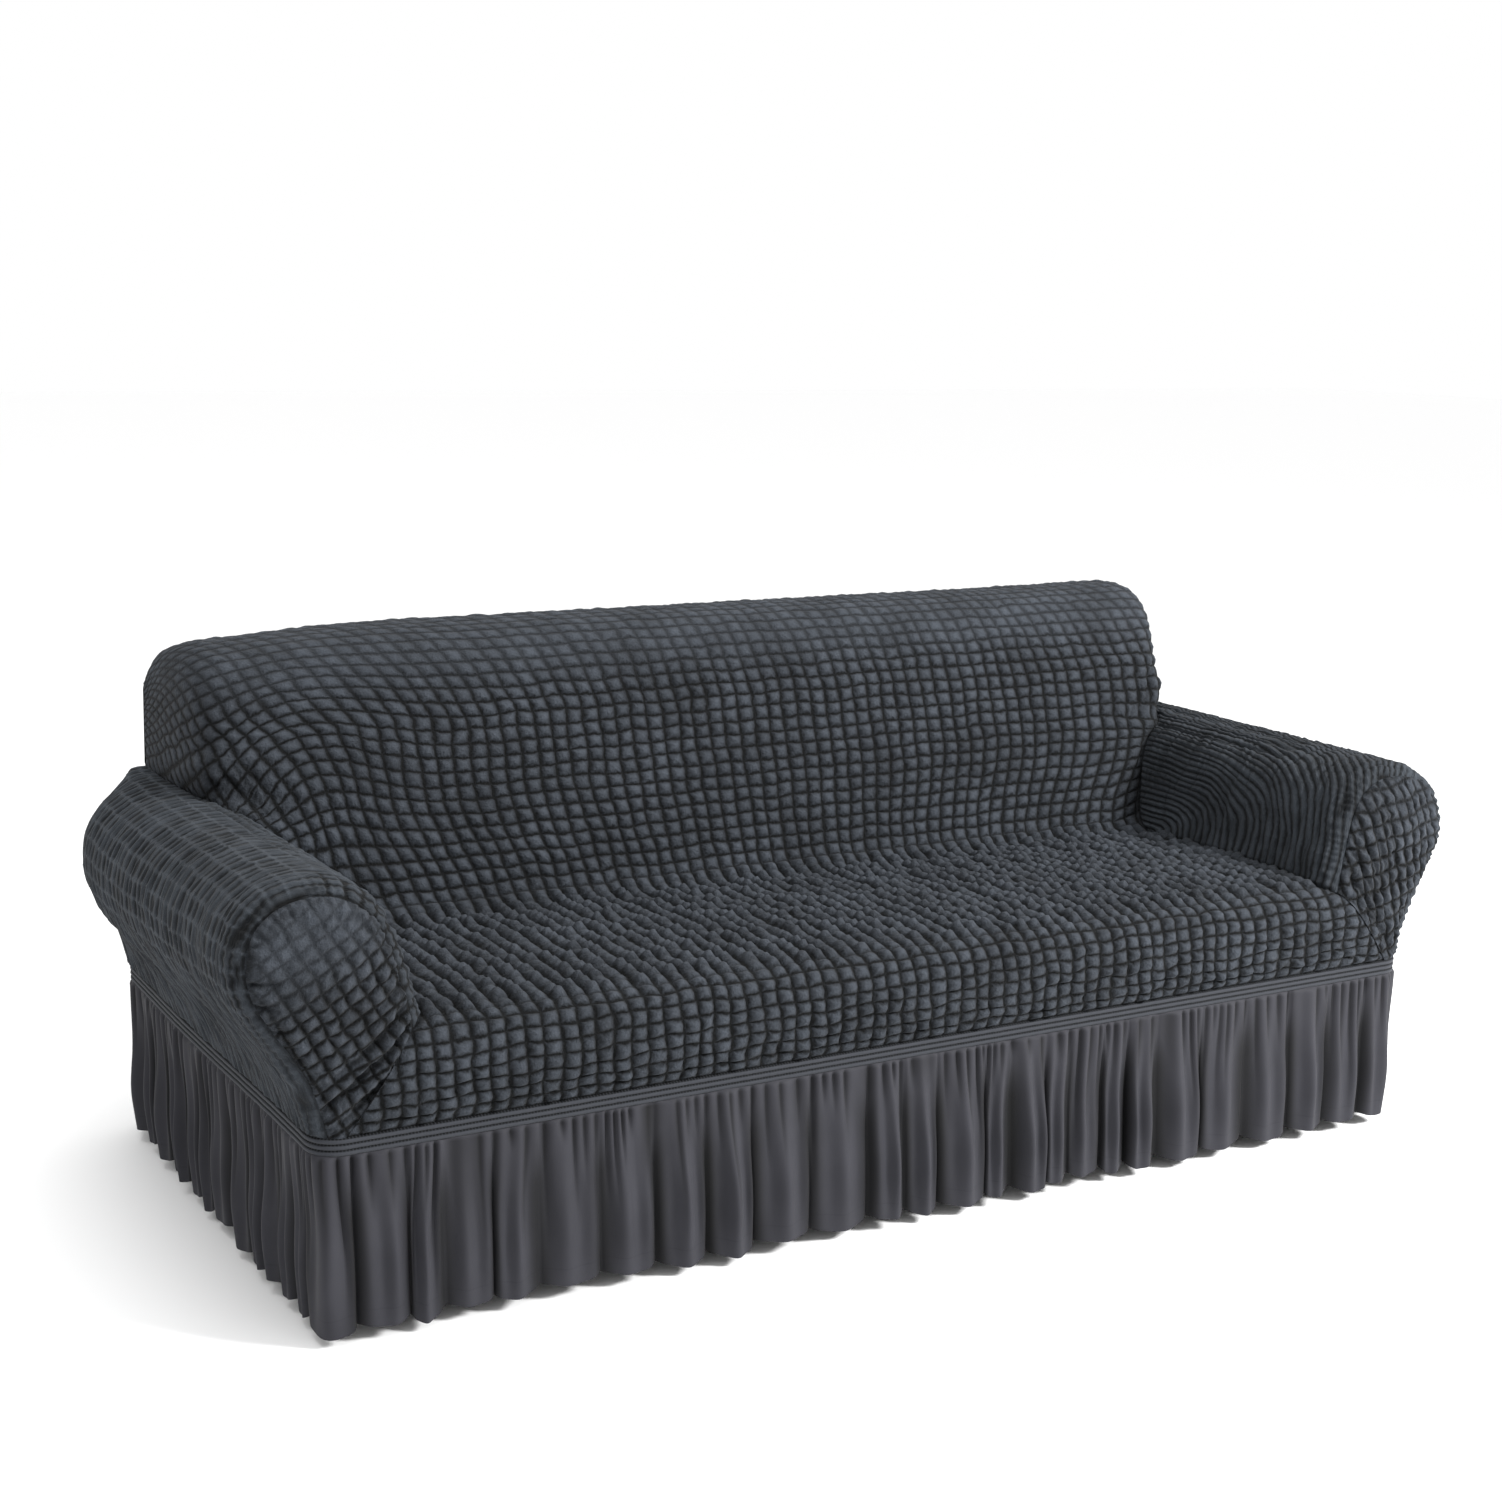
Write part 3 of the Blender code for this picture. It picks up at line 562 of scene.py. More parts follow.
# ---------------------------------------------------------------- meshes and pieces
def cloth_mesh(name, points, u, v, **shares):
    """A mesh through a grid of points, with the squares' numbers as its UV map.

    Each further share, such as how deep the grooves are, is kept under its own name."""
    rows, columns = points.shape[:2]
    bm = bmesh.new()
    bm.loops.layers.uv.new("cloth")
    bmesh.ops.create_grid(bm, x_segments=columns - 1, y_segments=rows - 1, size=1.0)
    mesh = bpy.data.meshes.new(name)
    bm.to_mesh(mesh)
    bm.free()
    flat = np.empty(len(mesh.vertices) * 3)
    mesh.vertices.foreach_get("co", flat)
    flat = (flat.reshape(-1, 3) + 1) / 2
    i = np.rint(flat[:, 0] * (columns - 1)).astype(int)
    j = np.rint(flat[:, 1] * (rows - 1)).astype(int)
    mesh.vertices.foreach_set("co", (points[j, i] - HANG_POINT).ravel())
    corner = np.empty(len(mesh.loops), int)
    mesh.loops.foreach_get("vertex_index", corner)
    uv = np.stack(np.broadcast_arrays(u, v), axis=-1)[j, i][corner]
    mesh.uv_layers["cloth"].uv.foreach_set("vector", uv.astype(np.float32).ravel())
    for key, share in shares.items():
        layer = mesh.attributes.new(key, "FLOAT", "POINT")
        values = np.broadcast_to(share, (rows, columns))[j, i]
        layer.data.foreach_set("value", values.astype(np.float32))
    return mesh


def make_piece(name, node, material, *cloth, **shares):
    """Makes and links the cloth that stands for a node of the frame."""
    mesh = cloth_mesh(name, *cloth, **shares)
    bm = bmesh.new()
    bm.from_mesh(mesh)
    bmesh.ops.remove_doubles(bm, verts=bm.verts, dist=MERGE_DISTANCE)
    bmesh.ops.dissolve_degenerate(bm, dist=MERGE_DISTANCE / 2, edges=bm.edges)
    bm.to_mesh(mesh)
    bm.free()
    mesh.shade_smooth()
    mesh.materials.append(material)
    piece = bpy.data.objects.new(name, mesh)
    bpy.context.scene.collection.objects.link(piece)
    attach(piece, "root")
    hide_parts(node)
    return piece


# ---------------------------------------------------------------- materials
def set_inputs(node, inputs):
    """Gives a node's inputs their values, or links them to an output or to a node's first output."""
    for key, value in inputs.items():
        if isinstance(value, bpy.types.Node):
            value = value.outputs[0]
        if isinstance(value, bpy.types.NodeSocket):
            node.id_data.links.new(value, node.inputs[key])
        else:
            node.inputs[key].default_value = value


def add_node(tree, kind, inputs=None, **settings):
    """Adds a node with its settings, values and links."""
    node = tree.nodes.new("ShaderNode" + kind)
    for key, value in settings.items():
        setattr(node, key, value)
    set_inputs(node, inputs or {})
    return node


def new_material(name, roughness, sheen):
    """A material with its shader's plain numbers set, its nodes and the shader."""
    material = bpy.data.materials.new(name)
    material.use_nodes = True
    tree = material.node_tree
    shader = tree.nodes["Principled BSDF"]
    set_inputs(shader, {"Roughness": roughness, "Specular IOR Level": 0.18})
    set_inputs(shader, {"Sheen Weight": sheen, "Sheen Roughness": 0.45})
    return material, tree, shader


def bubble_stretch_cloth(name, colour, groove_shade_colour, drawn=False):
    """Polyester and elastane seersucker knit: dull and slightly fuzzy, with pressed-in grooves darkened by
    painted shade.

    The grooves follow the cloth map, in which each square is one unit wide and high. Their pressed-in bump
    and painted shade are as deep as the shares "columns" and "rows" say, and "folds" adds painted shade in
    folds, tucks and wrinkles.
    Drawn cloth has short grooves between light, tight lines with painted sheen, or squares where its share of
    rows is below nought."""
    material, tree, shader = new_material(name, 0.88, 0.02)
    cloth = add_node(tree, "UVMap", uv_map="cloth")
    place = add_node(tree, "TexCoord").outputs["Object"]
    # a slow wobble of about a tenth of a square keeps the grooves from being ruled lines
    wobble = add_node(tree, "TexNoise", {"Vector": place, "Scale": 80.0, "Detail": 3.0}).outputs["Color"]
    centred = add_node(tree, "VectorMath", {0: wobble, 1: (0.5, 0.5, 0.5)}, operation="SUBTRACT")
    moved = {0: centred, 1: (0.34, 0.34, 0.0), 2: cloth}
    split = add_node(tree, "SeparateXYZ", {0: add_node(tree, "VectorMath", moved, operation="MULTIPLY_ADD")})
    grooves = []
    for share, axis, sharpness in (("columns", "X", 2.0), ("rows", "Y", 6.0 if drawn else 3.2)):
        distance = add_node(tree, "Math", {0: split.outputs[axis], 1: 0.5}, operation="PINGPONG")
        # painted shade: dark at the groove, and lighter up to the middle of the puff
        limits = {"From Max": 0.5, "To Min": 1.12, "To Max": 0.0}
        slope = add_node(tree, "MapRange", {"Value": distance, **limits})
        line = add_node(tree, "Math", {0: slope, 1: sharpness}, operation="POWER", use_clamp=True)
        depth = add_node(tree, "Attribute", attribute_name=share).outputs["Fac"]
        grooves.append(add_node(tree, "Math", {0: line, 1: depth}, operation="MULTIPLY"))
    columns, rows = grooves
    # the tight lines of drawn cloth stop its short grooves and stay clear of their painted shade
    crossing = "SUBTRACT" if drawn else "MAXIMUM"
    both = add_node(tree, "Math", {0: columns, 1: rows}, operation=crossing, use_clamp=drawn)
    # the share "folds" is painted shade; together with the grooves' painted shade it darkens the colour and
    # presses in the bump
    folds = add_node(tree, "Attribute", attribute_name="folds").outputs["Fac"]
    shade_and_pressing = add_node(tree, "Math", {0: both, 1: folds}, operation="MAXIMUM")
    # uneven dye and wear over a hand's width, each square's own shade, and the yarn's speckle of about 2 mm
    patches = add_node(tree, "TexNoise", {"Vector": place, "Scale": 9.0, "Detail": 3.0})
    speckle = add_node(tree, "TexNoise", {"Vector": place, "Scale": 420.0, "Detail": 3.0, "Roughness": 0.7})
    square = add_node(tree, "VectorMath", {0: cloth}, operation="FLOOR")
    own = add_node(tree, "TexWhiteNoise", {"Vector": square}, noise_dimensions="2D")
    tone = add_node(tree, "Math", {0: patches, 1: speckle}, operation="ADD")
    tone = add_node(tree, "Math", {0: own, 1: 0.20, 2: tone}, operation="MULTIPLY_ADD")
    limits = {"From Min": 0.75, "From Max": 1.45, "To Min": 0.60, "To Max": 1.40}
    lightness = add_node(tree, "MapRange", {"Value": tone, **limits})
    colours = {0: shade_and_pressing, 6: (*colour, 1.0), 7: (*groove_shade_colour, 1.0)}
    ground = add_node(tree, "Mix", colours, data_type="RGBA").outputs[2]
    dyed = add_node(tree, "VectorMath", {0: ground, "Scale": lightness}, operation="SCALE")
    # the knit crinkles in wrinkles of 3 to 5 mm between the grooves, and in long ones where it is drawn
    wrinkle = {"Vector": place, "Scale": 230.0, "Detail": 4.0}
    if drawn:
        # painted sheen: a line's stretched yarns reflect up to a fifth more, drawn as a lighter colour
        tight = add_node(tree, "Math", {0: rows, 1: 0.40, 2: 1.0}, operation="MULTIPLY_ADD")
        dyed = add_node(tree, "VectorMath", {0: dyed, "Scale": tight}, operation="SCALE")
        spread = add_node(tree, "VectorMath", {0: cloth, 1: (4.5, 1.3, 0.0)}, operation="MULTIPLY")
        wrinkle = {"Vector": spread, "Scale": 1.0, "Detail": 3.0}
    crinkles = add_node(tree, "TexNoise", {**wrinkle, "Roughness": 0.6})
    wrinkled = add_node(tree, "Bump", {"Height": crinkles, "Strength": 0.9, "Distance": 0.0045})
    pressing = {"Height": shade_and_pressing, "Normal": wrinkled, "Strength": 0.8, "Distance": 0.0026}
    set_inputs(shader, {"Base Color": dyed, "Normal": add_node(tree, "Bump", pressing, invert=True)})
    return material


def ribbed_elastic(colour, stitch_colour):
    """Covered elastic: three corded ribs, with a row of dark lockstitches in each hollow between them."""
    material, tree, shader = new_material("ribbed_elastic", 0.75, 0.04)
    split = add_node(tree, "SeparateXYZ", {0: add_node(tree, "UVMap", uv_map="cloth")})
    # V counts ribs from the lower edge, so the hollows lie at 1 and 2; U counts stitches of 5 mm
    marks = []
    for axis, near, far, there, elsewhere in (("Y", 0.08, 0.26, 1.0, 0.0), ("X", 0.10, 0.28, 0.45, 1.0)):
        distance = add_node(tree, "Math", {0: split.outputs[axis], 1: 0.5}, operation="PINGPONG")
        limits = {"From Min": near, "From Max": far, "To Min": there, "To Max": elsewhere}
        mark = add_node(tree, "MapRange", {"Value": distance, **limits}, interpolation_type="SMOOTHSTEP")
        marks.append(mark)
    stitched = add_node(tree, "Math", {0: marks[0], 1: marks[1]}, operation="MULTIPLY")
    tint = add_node(tree, "Mix", {0: stitched, 6: (*colour, 1.0), 7: (*stitch_colour, 1.0)}, data_type="RGBA")
    place = add_node(tree, "TexCoord").outputs["Object"]
    # the covering's yarns are about 2 mm apart
    yarn = add_node(tree, "TexNoise", {"Vector": place, "Scale": 500.0, "Detail": 2.0})
    grain = add_node(tree, "Bump", {"Height": yarn, "Strength": 0.4, "Distance": 0.001})
    sinking = {"Height": stitched, "Normal": grain, "Strength": 0.7, "Distance": 0.0015}
    sunk = add_node(tree, "Bump", sinking, invert=True)
    set_inputs(shader, {"Base Color": tint.outputs[2], "Normal": sunk})
    return material


def plain_polyester_cloth(colour, hem_colour):
    """Smooth plain-woven polyester: even and faintly lustrous, with a stitched hem.

    A share for each point says how deep in a fold or between gathers it lies; the cloth is darkened there as
    painted shade."""
    material, tree, shader = new_material("plain_polyester_cloth", 0.70, 0.03)
    split = add_node(tree, "SeparateXYZ", {0: add_node(tree, "UVMap", uv_map="cloth")})
    # V is the height above the hem in millimetres; the hem is stitched 27 mm up
    offset = add_node(tree, "Math", {0: split.outputs["Y"], 1: 27.0}, operation="SUBTRACT")
    above = add_node(tree, "Math", {0: offset}, operation="ABSOLUTE")
    limits = {"From Min": 0.3, "From Max": 1.6, "To Min": 0.40, "To Max": 0.0}
    hem = add_node(tree, "MapRange", {"Value": above, **limits}, interpolation_type="SMOOTHSTEP")
    # uneven dye in patches of about 70 mm
    place = add_node(tree, "TexCoord").outputs["Object"]
    patches = add_node(tree, "TexNoise", {"Vector": place, "Scale": 14.0, "Detail": 2.0})
    limits = {"From Min": 0.3, "From Max": 0.7, "To Min": 0.92, "To Max": 1.08}
    lightness = add_node(tree, "MapRange", {"Value": patches, **limits})
    valley = add_node(tree, "Attribute", attribute_name="valley").outputs["Fac"]
    # painted shade in the folds' valleys and between the gathers
    shaded = add_node(tree, "Math", {0: valley, 1: -0.94, 2: 1.0}, operation="MULTIPLY_ADD")
    lightness = add_node(tree, "Math", {0: lightness, 1: shaded}, operation="MULTIPLY")
    colours = {0: hem, 6: (*colour, 1.0), 7: (*hem_colour, 1.0)}
    ground = add_node(tree, "Mix", colours, data_type="RGBA").outputs[2]
    dyed = add_node(tree, "VectorMath", {0: ground, "Scale": lightness}, operation="SCALE")
    # the threads are 0.3 mm apart, drawn here as a grain of about 1.4 mm so that they show
    weave = add_node(tree, "TexNoise", {"Vector": place, "Scale": 700.0, "Detail": 2.0})
    grain = add_node(tree, "Bump", {"Height": weave, "Strength": 0.25, "Distance": 0.0006})
    set_inputs(shader, {"Base Color": dyed, "Normal": grain})
    return material


# ---------------------------------------------------------------- settings
def colour_property(name, description, code):
    """A colour that can be changed in the sidebar, with an sRGB hex code as its default."""
    return bpy.props.FloatVectorProperty(
        name=name, description=description, subtype="COLOR", default=linear(code)
    )


class SlipcoverLooks(bpy.types.PropertyGroup):
    """Colours and relief of the slipcover's cloths."""

    cloth_colour: colour_property("Cloth", "Colour of the puffed squares", "#34383e")
    # painted shade: the arms are the same knit as the squares, given this darker colour
    arm_shaded_colour: colour_property("Arm cloth", "Colour of the drawn cloth", "#2e3237")
    # painted shade: the near-black that the grooves and folds are darkened towards
    groove_shade_colour: colour_property("Grooves", "Colour in the grooves", "#050607")
    band_colour: colour_property("Band", "Colour of the elastic band", "#2f3136")
    stitch_colour: colour_property("Stitches", "Colour of its stitches", "#08090b")
    skirt_colour: colour_property("Skirt", "Colour of the skirt", "#2c2c31")
    hem_colour: colour_property("Hem line", "Colour of its stitches", "#222227")
    puff_height: bpy.props.FloatProperty(
        name="Puff height",
        description="How far a square stands above its grooves",
        default=0.0074,
        min=0.0,
        max=0.01,
        subtype="DISTANCE",
        unit="LENGTH",
    )
    gather_depth: bpy.props.FloatProperty(
        name="Gather depth",
        description="Depth of the small gathers under the band",
        default=0.0048,
        min=0.0,
        max=0.01,
        subtype="DISTANCE",
        unit="LENGTH",
    )


class SlipcoverStage(bpy.types.PropertyGroup):
    """Camera and light for looking at the slipcover."""

    focal_length: bpy.props.FloatProperty(
        name="Focal length",
        description="Camera lens",
        default=53.5,
        min=20.0,
        max=200.0,
        subtype="DISTANCE_CAMERA",
    )
    key_power: bpy.props.FloatProperty(
        name="Key light",
        description="Power of the main lamp",
        default=420.0,
        min=0.0,
        subtype="POWER",
        unit="POWER",
    )
    top_power: bpy.props.FloatProperty(
        name="Top light",
        description="Power of the lamp overhead",
        default=55.0,
        min=0.0,
        subtype="POWER",
        unit="POWER",
    )
    sky_strength: bpy.props.FloatProperty(
        name="Sky", description="Brightness of the surroundings", default=1.0, min=0.0, max=5.0
    )
    floor_colour: colour_property("Floor", "Colour of the floor", "#fefefe")


# ---------------------------------------------------------------- operators, one for each piece
class SLIPCOVER_OT_seat_back(bpy.types.Operator):
    """Lay the puffed cloth over the fall, the seat and the back"""

    bl_idname = "slipcover.seat_back"
    bl_label = "Seat and Back Cloth"

    # from where to where, in heights or depths, each region of the cloth begins
    back_heights = (0.47, 0.59)
    crown_heights = (0.76, 0.86)
    seat_depths = (-0.46, -0.41)
    seat_heights = (0.47, 0.44)
    fall_depths = (-0.44, -0.47)
    # what the crown, the seat and the fall add to the squares' relief and to their grooves' depths
    relief_changes = (-0.50, 0.90, 0.30)
    column_changes = (-0.35, 0.00, 0.00)
    row_changes = (-0.25, -0.60, 0.00)
    painted_gap_shades = (0.0, 0.80, 0.50)  # painted shade in the open gaps, as the columns stand apart on the seat and the fall
    widening = 0.2  # the squares widen over this height above the seat
    lean_height = 0.745  # the columns lean above this, more towards the ends
    leans = (0.12, 0.30, 0.15)
    left_lean = (-0.1, -0.7)
    right_lean = (0.5, 0.8)
    calm_ends = (0.92, 0.96)  # the squares are flatter by the seams and at the back's ends
    calm_heights = (0.56, 0.60)
    calming = (0.03, 0.7)  # over this length from a seam, and by this share
    crush = (0.0055, 3.0)  # depth of the crushed cloth above the band, and over how many rows
    crush_stray = (0.005, 2.5)  # how much more its squares stray, and over how many rows
    tuck_painted_shade = (0.85, 0.022)  # painted shade beside the arms where the cloth tucks in: its darkness and width
    tuck_shade_bottom = (0.40, 0.44)
    tuck_shade_top = (0.68, 0.63)

    def grid(self):
        """The cloth's points, their places in squares, the distance to an edge, and where columns lean."""
        length = run_lengths(SECTION_LINE)[-1]
        rows = round(length / SQUARE_HEIGHT)
        v = square_lines(0, rows, STEPS_UP)
        row_heights = 1.0 - BAND_ROWS_SHRINK * np.exp(-np.arange(rows) / BAND_ROWS)
        row_edges = np.concatenate([[0.0], np.cumsum(row_heights)]) / row_heights.sum()
        shares = np.interp(v, np.arange(rows + 1), row_edges)
        heights = along(SECTION_LINE, shares)[:, 1]
        pitch = mix(SQUARE_ON_SEAT, SQUARE_ON_BACK, smooth((heights - CREASE[1]) / self.widening))[:, None]
        halves = [half_row(share) for share in shares]
        reach = np.array([run_lengths(half)[-1] for half in halves])[:, None]
        columns = math.ceil((reach / pitch).max())
        u = square_lines(-columns, columns, STEPS_ACROSS)
        at = np.minimum(np.abs(u) * pitch, reach)
        points = np.array([at_length(half, row) for half, row in zip(halves, at)])
        points[..., 0] *= np.sign(u)
        ends = np.minimum(shares, 1.0 - shares)[:, None] * length
        return points, u, v[:, None], np.minimum(reach - at, ends), v[heights > self.lean_height][0]

    def execute(self, context):
        looks = context.scene.slipcover_looks
        points, u, v, edge, lean_row = self.grid()
        x, y, z = np.moveaxis(points, -1, 0)
        # the grain turns by the left arm, and the columns lean over the crown
        move_x, move_z = twist(x, z, *BACK_TWIST)
        on_back = ramp(z, *self.back_heights)
        everywhere, left, right = self.leans
        leaning = everywhere + left * ramp(x, *self.left_lean) + right * ramp(x, *self.right_lean)
        u = u + leaning * np.maximum(v - lean_row, 0.0) + on_back * move_x / SQUARE_ON_BACK
        v = v + on_back * move_z / SQUARE_HEIGHT
        crown = ramp(z, *self.crown_heights)
        seat = ramp(y, *self.seat_depths) * ramp(z, *self.seat_heights)
        regions = np.stack([crown, seat, ramp(y, *self.fall_depths)], axis=-1)
        columns = 1.0 + regions @ self.column_changes
        rows = 1.0 + regions @ self.row_changes
        calm_reach, calmed = self.calming
        calm = np.maximum(np.exp(-edge / calm_reach), ramp(np.abs(x), *self.calm_ends))
        calm = calm * ramp(z, *self.calm_heights)
        height = looks.puff_height * (1.0 + regions @ self.relief_changes) * (1.0 - calmed * calm)
        folds = creases(points[..., ::2], BACK_CREASES)
        crush_depth, crush_rows = self.crush
        crush = np.exp(-v / crush_rows) * wander(u * 2.3, v * 2.9, 31)
        relief = height * puffs(u, v, 3, columns, rows) + crush_depth * crush - folds
        # painted shade where the cloth is folded, tucked in beside the arms, crushed, or open between columns
        shade, width = self.tuck_painted_shade
        tucked_shade = shade * bell(edge / width) * ramp(z, *self.tuck_shade_bottom) * ramp(z, *self.tuck_shade_top)
        crush_shade = 1.2 * np.clip(-crush - 0.12, 0.0, 0.7)
        open_gap_shade = (1.0 - arch(u)) ** 0.8 * (regions @ self.painted_gap_shades)
        painted_shade = np.maximum.reduce([painted_fold_shade(folds), tucked_shade, crush_shade, open_gap_shade])
        more, over_rows = self.crush_stray
        stray = SQUARE_STRAY + more * np.exp(-v / over_rows)
        points = lay_cloth(settle(points), u, v, edge, relief, 21, BACK_SEAM, stray)
        cloth = bubble_stretch_cloth("bubble_stretch_cloth", looks.cloth_colour, looks.groove_shade_colour)
        # the share "folds" carries this painted shade
        shares = {"columns": columns, "rows": rows, "folds": painted_shade}
        piece = make_piece("seat_back_cloth", "seat_back_panel", cloth, points, u, v, **shares)
        return {"FINISHED"}


class SLIPCOVER_OT_outside_back(bpy.types.Operator):
    """Lay the puffed cloth down the rear"""

    bl_idname = "slipcover.outside_back"
    bl_label = "Outside Back Cloth"

    flatness = 0.8  # its squares stand this much of the full height
    groove_depth = 0.95

    def grid(self):
        """The cloth's points between its four seams, their places in squares, and the distance to a seam."""
        outer = np.linspace(1.0, SEAM_REAR, 80)
        low = arm_surface(outer, np.full_like(outer, REAR_SEAM_DEPTH))
        side = np.vstack([low, rear_seam(np.linspace(0.0, 1.0, 60))[1:]])
        rows = round(run_lengths(side)[-1] / SQUARE_HEIGHT)
        v = square_lines(0, rows, STEPS_UP)
        right = along(side, v / rows)
        left = right * (-1, 1, 1)
        columns = round(HALF_LENGTH / SQUARE_ON_BACK)
        u = square_lines(-columns, columns, STEPS_ACROSS)
        share = (u + columns) / (2 * columns)
        half = half_row(1.0)
        x = mix(left[-1, 0], right[-1, 0], share)
        top = grid_of(x, *(np.interp(np.abs(x), half[:, 0], half[:, k]) for k in (1, 2)))
        x = mix(left[0, 0], right[0, 0], share)
        bottom = grid_of(x, HALF_DEPTH - corner_inset(HALF_LENGTH - np.abs(x)), right[0, 2])
        t = ((right[:, 2] - right[0, 2]) / (right[-1, 2] - right[0, 2]))[:, None, None]
        s = share[None, :, None]
        sides = mix(left[:, None], right[:, None], s)
        corners = mix(mix(left[0], right[0], s), mix(left[-1], right[-1], s), t)
        points = sides + mix(bottom[None], top[None], t) - corners
        v = v[:, None]
        u = np.broadcast_to(u, points.shape[:2])
        edge = np.minimum((columns - np.abs(u)) * SQUARE_ON_BACK, np.minimum(v, rows - v) * SQUARE_HEIGHT)
        return points, u, v, edge

    def execute(self, context):
        looks = context.scene.slipcover_looks
        points, u, v, edge = self.grid()
        points, u, edge = facing_out((0.0, 0.0, 0.5), settle(points), u, edge)
        relief = looks.puff_height * self.flatness * puffs(u, v, 41)
        points = lay_cloth(points, u, v, edge, relief, 45, BACK_SEAM)
        cloth = bubble_stretch_cloth("bubble_stretch_cloth_rear", looks.cloth_colour, looks.groove_shade_colour)
        shares = {"columns": self.groove_depth, "rows": self.groove_depth, "folds": 0.0}
        piece = make_piece("outside_back_cloth", "outside_back_panel", cloth, points, u, v, **shares)
        return {"FINISHED"}


class SLIPCOVER_OT_arms(bpy.types.Operator):
    """Lay the cloth over both arms, from the seat over the roll to the band"""

    bl_idname = "slipcover.arms"
    bl_label = "Arm Cloths"

    # from where to where, in shares round the section, the top of the roll begins and ends
    roll_begins = (0.22, 0.32)
    roll_ends = (0.80, 0.70)
    # the left arm's squares aren't drawn together this near the front and this low on its inner side
    squares_behind = (0.075, 0.045)
    squares_below = (0.42, 0.34)
    crowding = (1.6, 0.035)  # so many strips are pushed towards the front, over this length
    top_fold_starts = (0.10, 0.30)  # the folds on top begin this far behind the front
    fold_waver = (0.008, 0.15)  # how far they waver, as a share, and over what length
    flatness = 0.50  # the cloth's relief, as a share of the puffs' height
    # depths of the grooves: below the roll, added on the roll and in the arcs, and of the squares
    column_depths = (0.60, 0.25, 0.30, 0.90)
    row_depths = (0.50, -0.80)  # on the roll, and of the squares
    arc_waver = (0.4, 0.07, 12.0)
    # height of the fine crinkles across the arm, and what the roll, the arcs and the front add to it
    crinkle_heights = (0.0022, -0.0010, 0.0008, 0.0016)
    crinkle_length = 0.0085
    crinkle_shades = (0.35, 0.90)  # painted shade in the crinkles' hollows: everywhere, and added near the front
    near_front = 0.045

    def arcs(self, before_crease, round_arm):
        """Places across the right arm's arcs, which lie round the corner of seat and back."""
        forwards, upwards = ARC_REACH
        reach = ((before_crease / forwards) ** 3 + (round_arm / upwards) ** 3) ** (1 / 3)
        return reach * forwards / ARC_PITCH

    def top_folds(self, side, share, drawn, seed):
        """Depth of the long folds on top of an arm."""
        waver, waver_length = self.fold_waver
        folds = 0.0
        for at, depth, width in TOP_FOLDS[side]:
            aside = waver * wander(drawn / waver_length, at * 50, seed)
            folds = folds + depth * bell((share - at - aside) / width)
        return folds * ramp(drawn, *self.top_fold_starts)

    def execute(self, context):
        looks = context.scene.slipcover_looks
        cloth = bubble_stretch_cloth("drawn_bubble_cloth", looks.arm_shaded_colour, looks.groove_shade_colour, drawn=True)
        length = run_lengths(ARM_LINE)[-1]
        count = round(length / SQUARE_ROUND_ARM)
        v = square_lines(0, count, STEPS_FINE)[:, None]
        share = v / count
        round_arm = share * length
        front, rear = seam_front(along(ARM_LINE, share)[..., 1]), arm_rear(share)
        u = square_lines(0, math.ceil((rear - front).max() / SQUARE_ALONG_ARM), STEPS_ON_ARM)
        y = np.minimum(front + u * SQUARE_ALONG_ARM, rear)
        u = np.broadcast_to(u, y.shape)
        arm = arm_surface(np.broadcast_to(share, y.shape), y)
        edge = np.minimum(np.minimum(y - front, rear - y), np.minimum(round_arm, length - round_arm))
        along_arm = (u, edge, y - front, np.maximum(CREASE[0] - y, 0.0))
        for side, mirror, seed in (("left", -1, 61), ("right", 1, 71)):
            grids = facing_out((mirror * 0.98, 0.0, 0.48), settle(arm * (mirror, 1, 1)), *along_arm)
            points, place, at_edge, drawn, before_crease = grids
            on_roll = ramp(share, *self.roll_begins) * ramp(share, *self.roll_ends)
            most, over = self.crowding
            crowd = most * np.exp(-drawn / over)
            place = place + 0.5 - crowd
            if side == "left":
                inner, end = 0.0, 0.0
                squares = ramp(drawn, *self.squares_behind) * ramp(share, *self.squares_below)
            else:
                # no grooves where the arcs meet the straight strips
                inner, end = ramp(share, ARC_END, ARC_FADE), bell((share - ARC_END) / ARC_GAP)
                squares = 0.0
                waver, waver_length, waver_beats = self.arc_waver
                waver = waver * wander(drawn / waver_length, share * waver_beats, seed + 6)
                arcs = self.arcs(before_crease, round_arm) + crowd + waver
                place = np.where(share < ARC_END, arcs, place)
                on_roll = on_roll * (1.0 - inner)
            low, roll, arc, square = self.column_depths
            columns = mix(low + roll * on_roll + arc * inner, square, squares) * (1.0 - end)
            rows = mix(self.row_depths[0] * on_roll, self.row_depths[1], squares)
            strips = drawn_strips(place, v, seed, columns * 1.25, 1.0 - 0.7 * inner)
            relief = self.flatness * mix(strips, 1.3 * puffs(place, v, seed), squares)
            folds = self.top_folds(side, share, drawn, seed)
            # fine crinkles across the arm, deeper near the front, with painted shade in their hollows that is
            # darker there
            near = np.exp(-drawn / self.near_front)
            bend = 1.5 * wander(share * 9.0, drawn / 0.06, seed + 9)
            fine = wander(drawn / self.crinkle_length + bend, share * 14.0, seed + 8)
            low, roll, arc, front_height = self.crinkle_heights
            height = (low + roll * on_roll + arc * inner + front_height * near) * (1.0 - squares)
            shade = (self.crinkle_shades[0] + self.crinkle_shades[1] * near) * (1.0 - squares)
            crinkle_hollow_shade = np.clip(-1.6 * fine - 0.25, 0.0, 0.9) * shade
            relief = looks.puff_height * relief + height * fine - folds
            relief = relief + gathers(round_arm, drawn, seed + 5)
            points = lay_cloth(points, place, v, at_edge, relief, seed + 3, ARM_SEAM)
            shares = {"columns": columns, "rows": rows, "folds": np.maximum(painted_fold_shade(folds), crinkle_hollow_shade)}
            name = "arm_cloth_" + side
            piece = make_piece(name, "arm_panel_" + side, cloth, points, place, v, **shares)
        return {"FINISHED"}


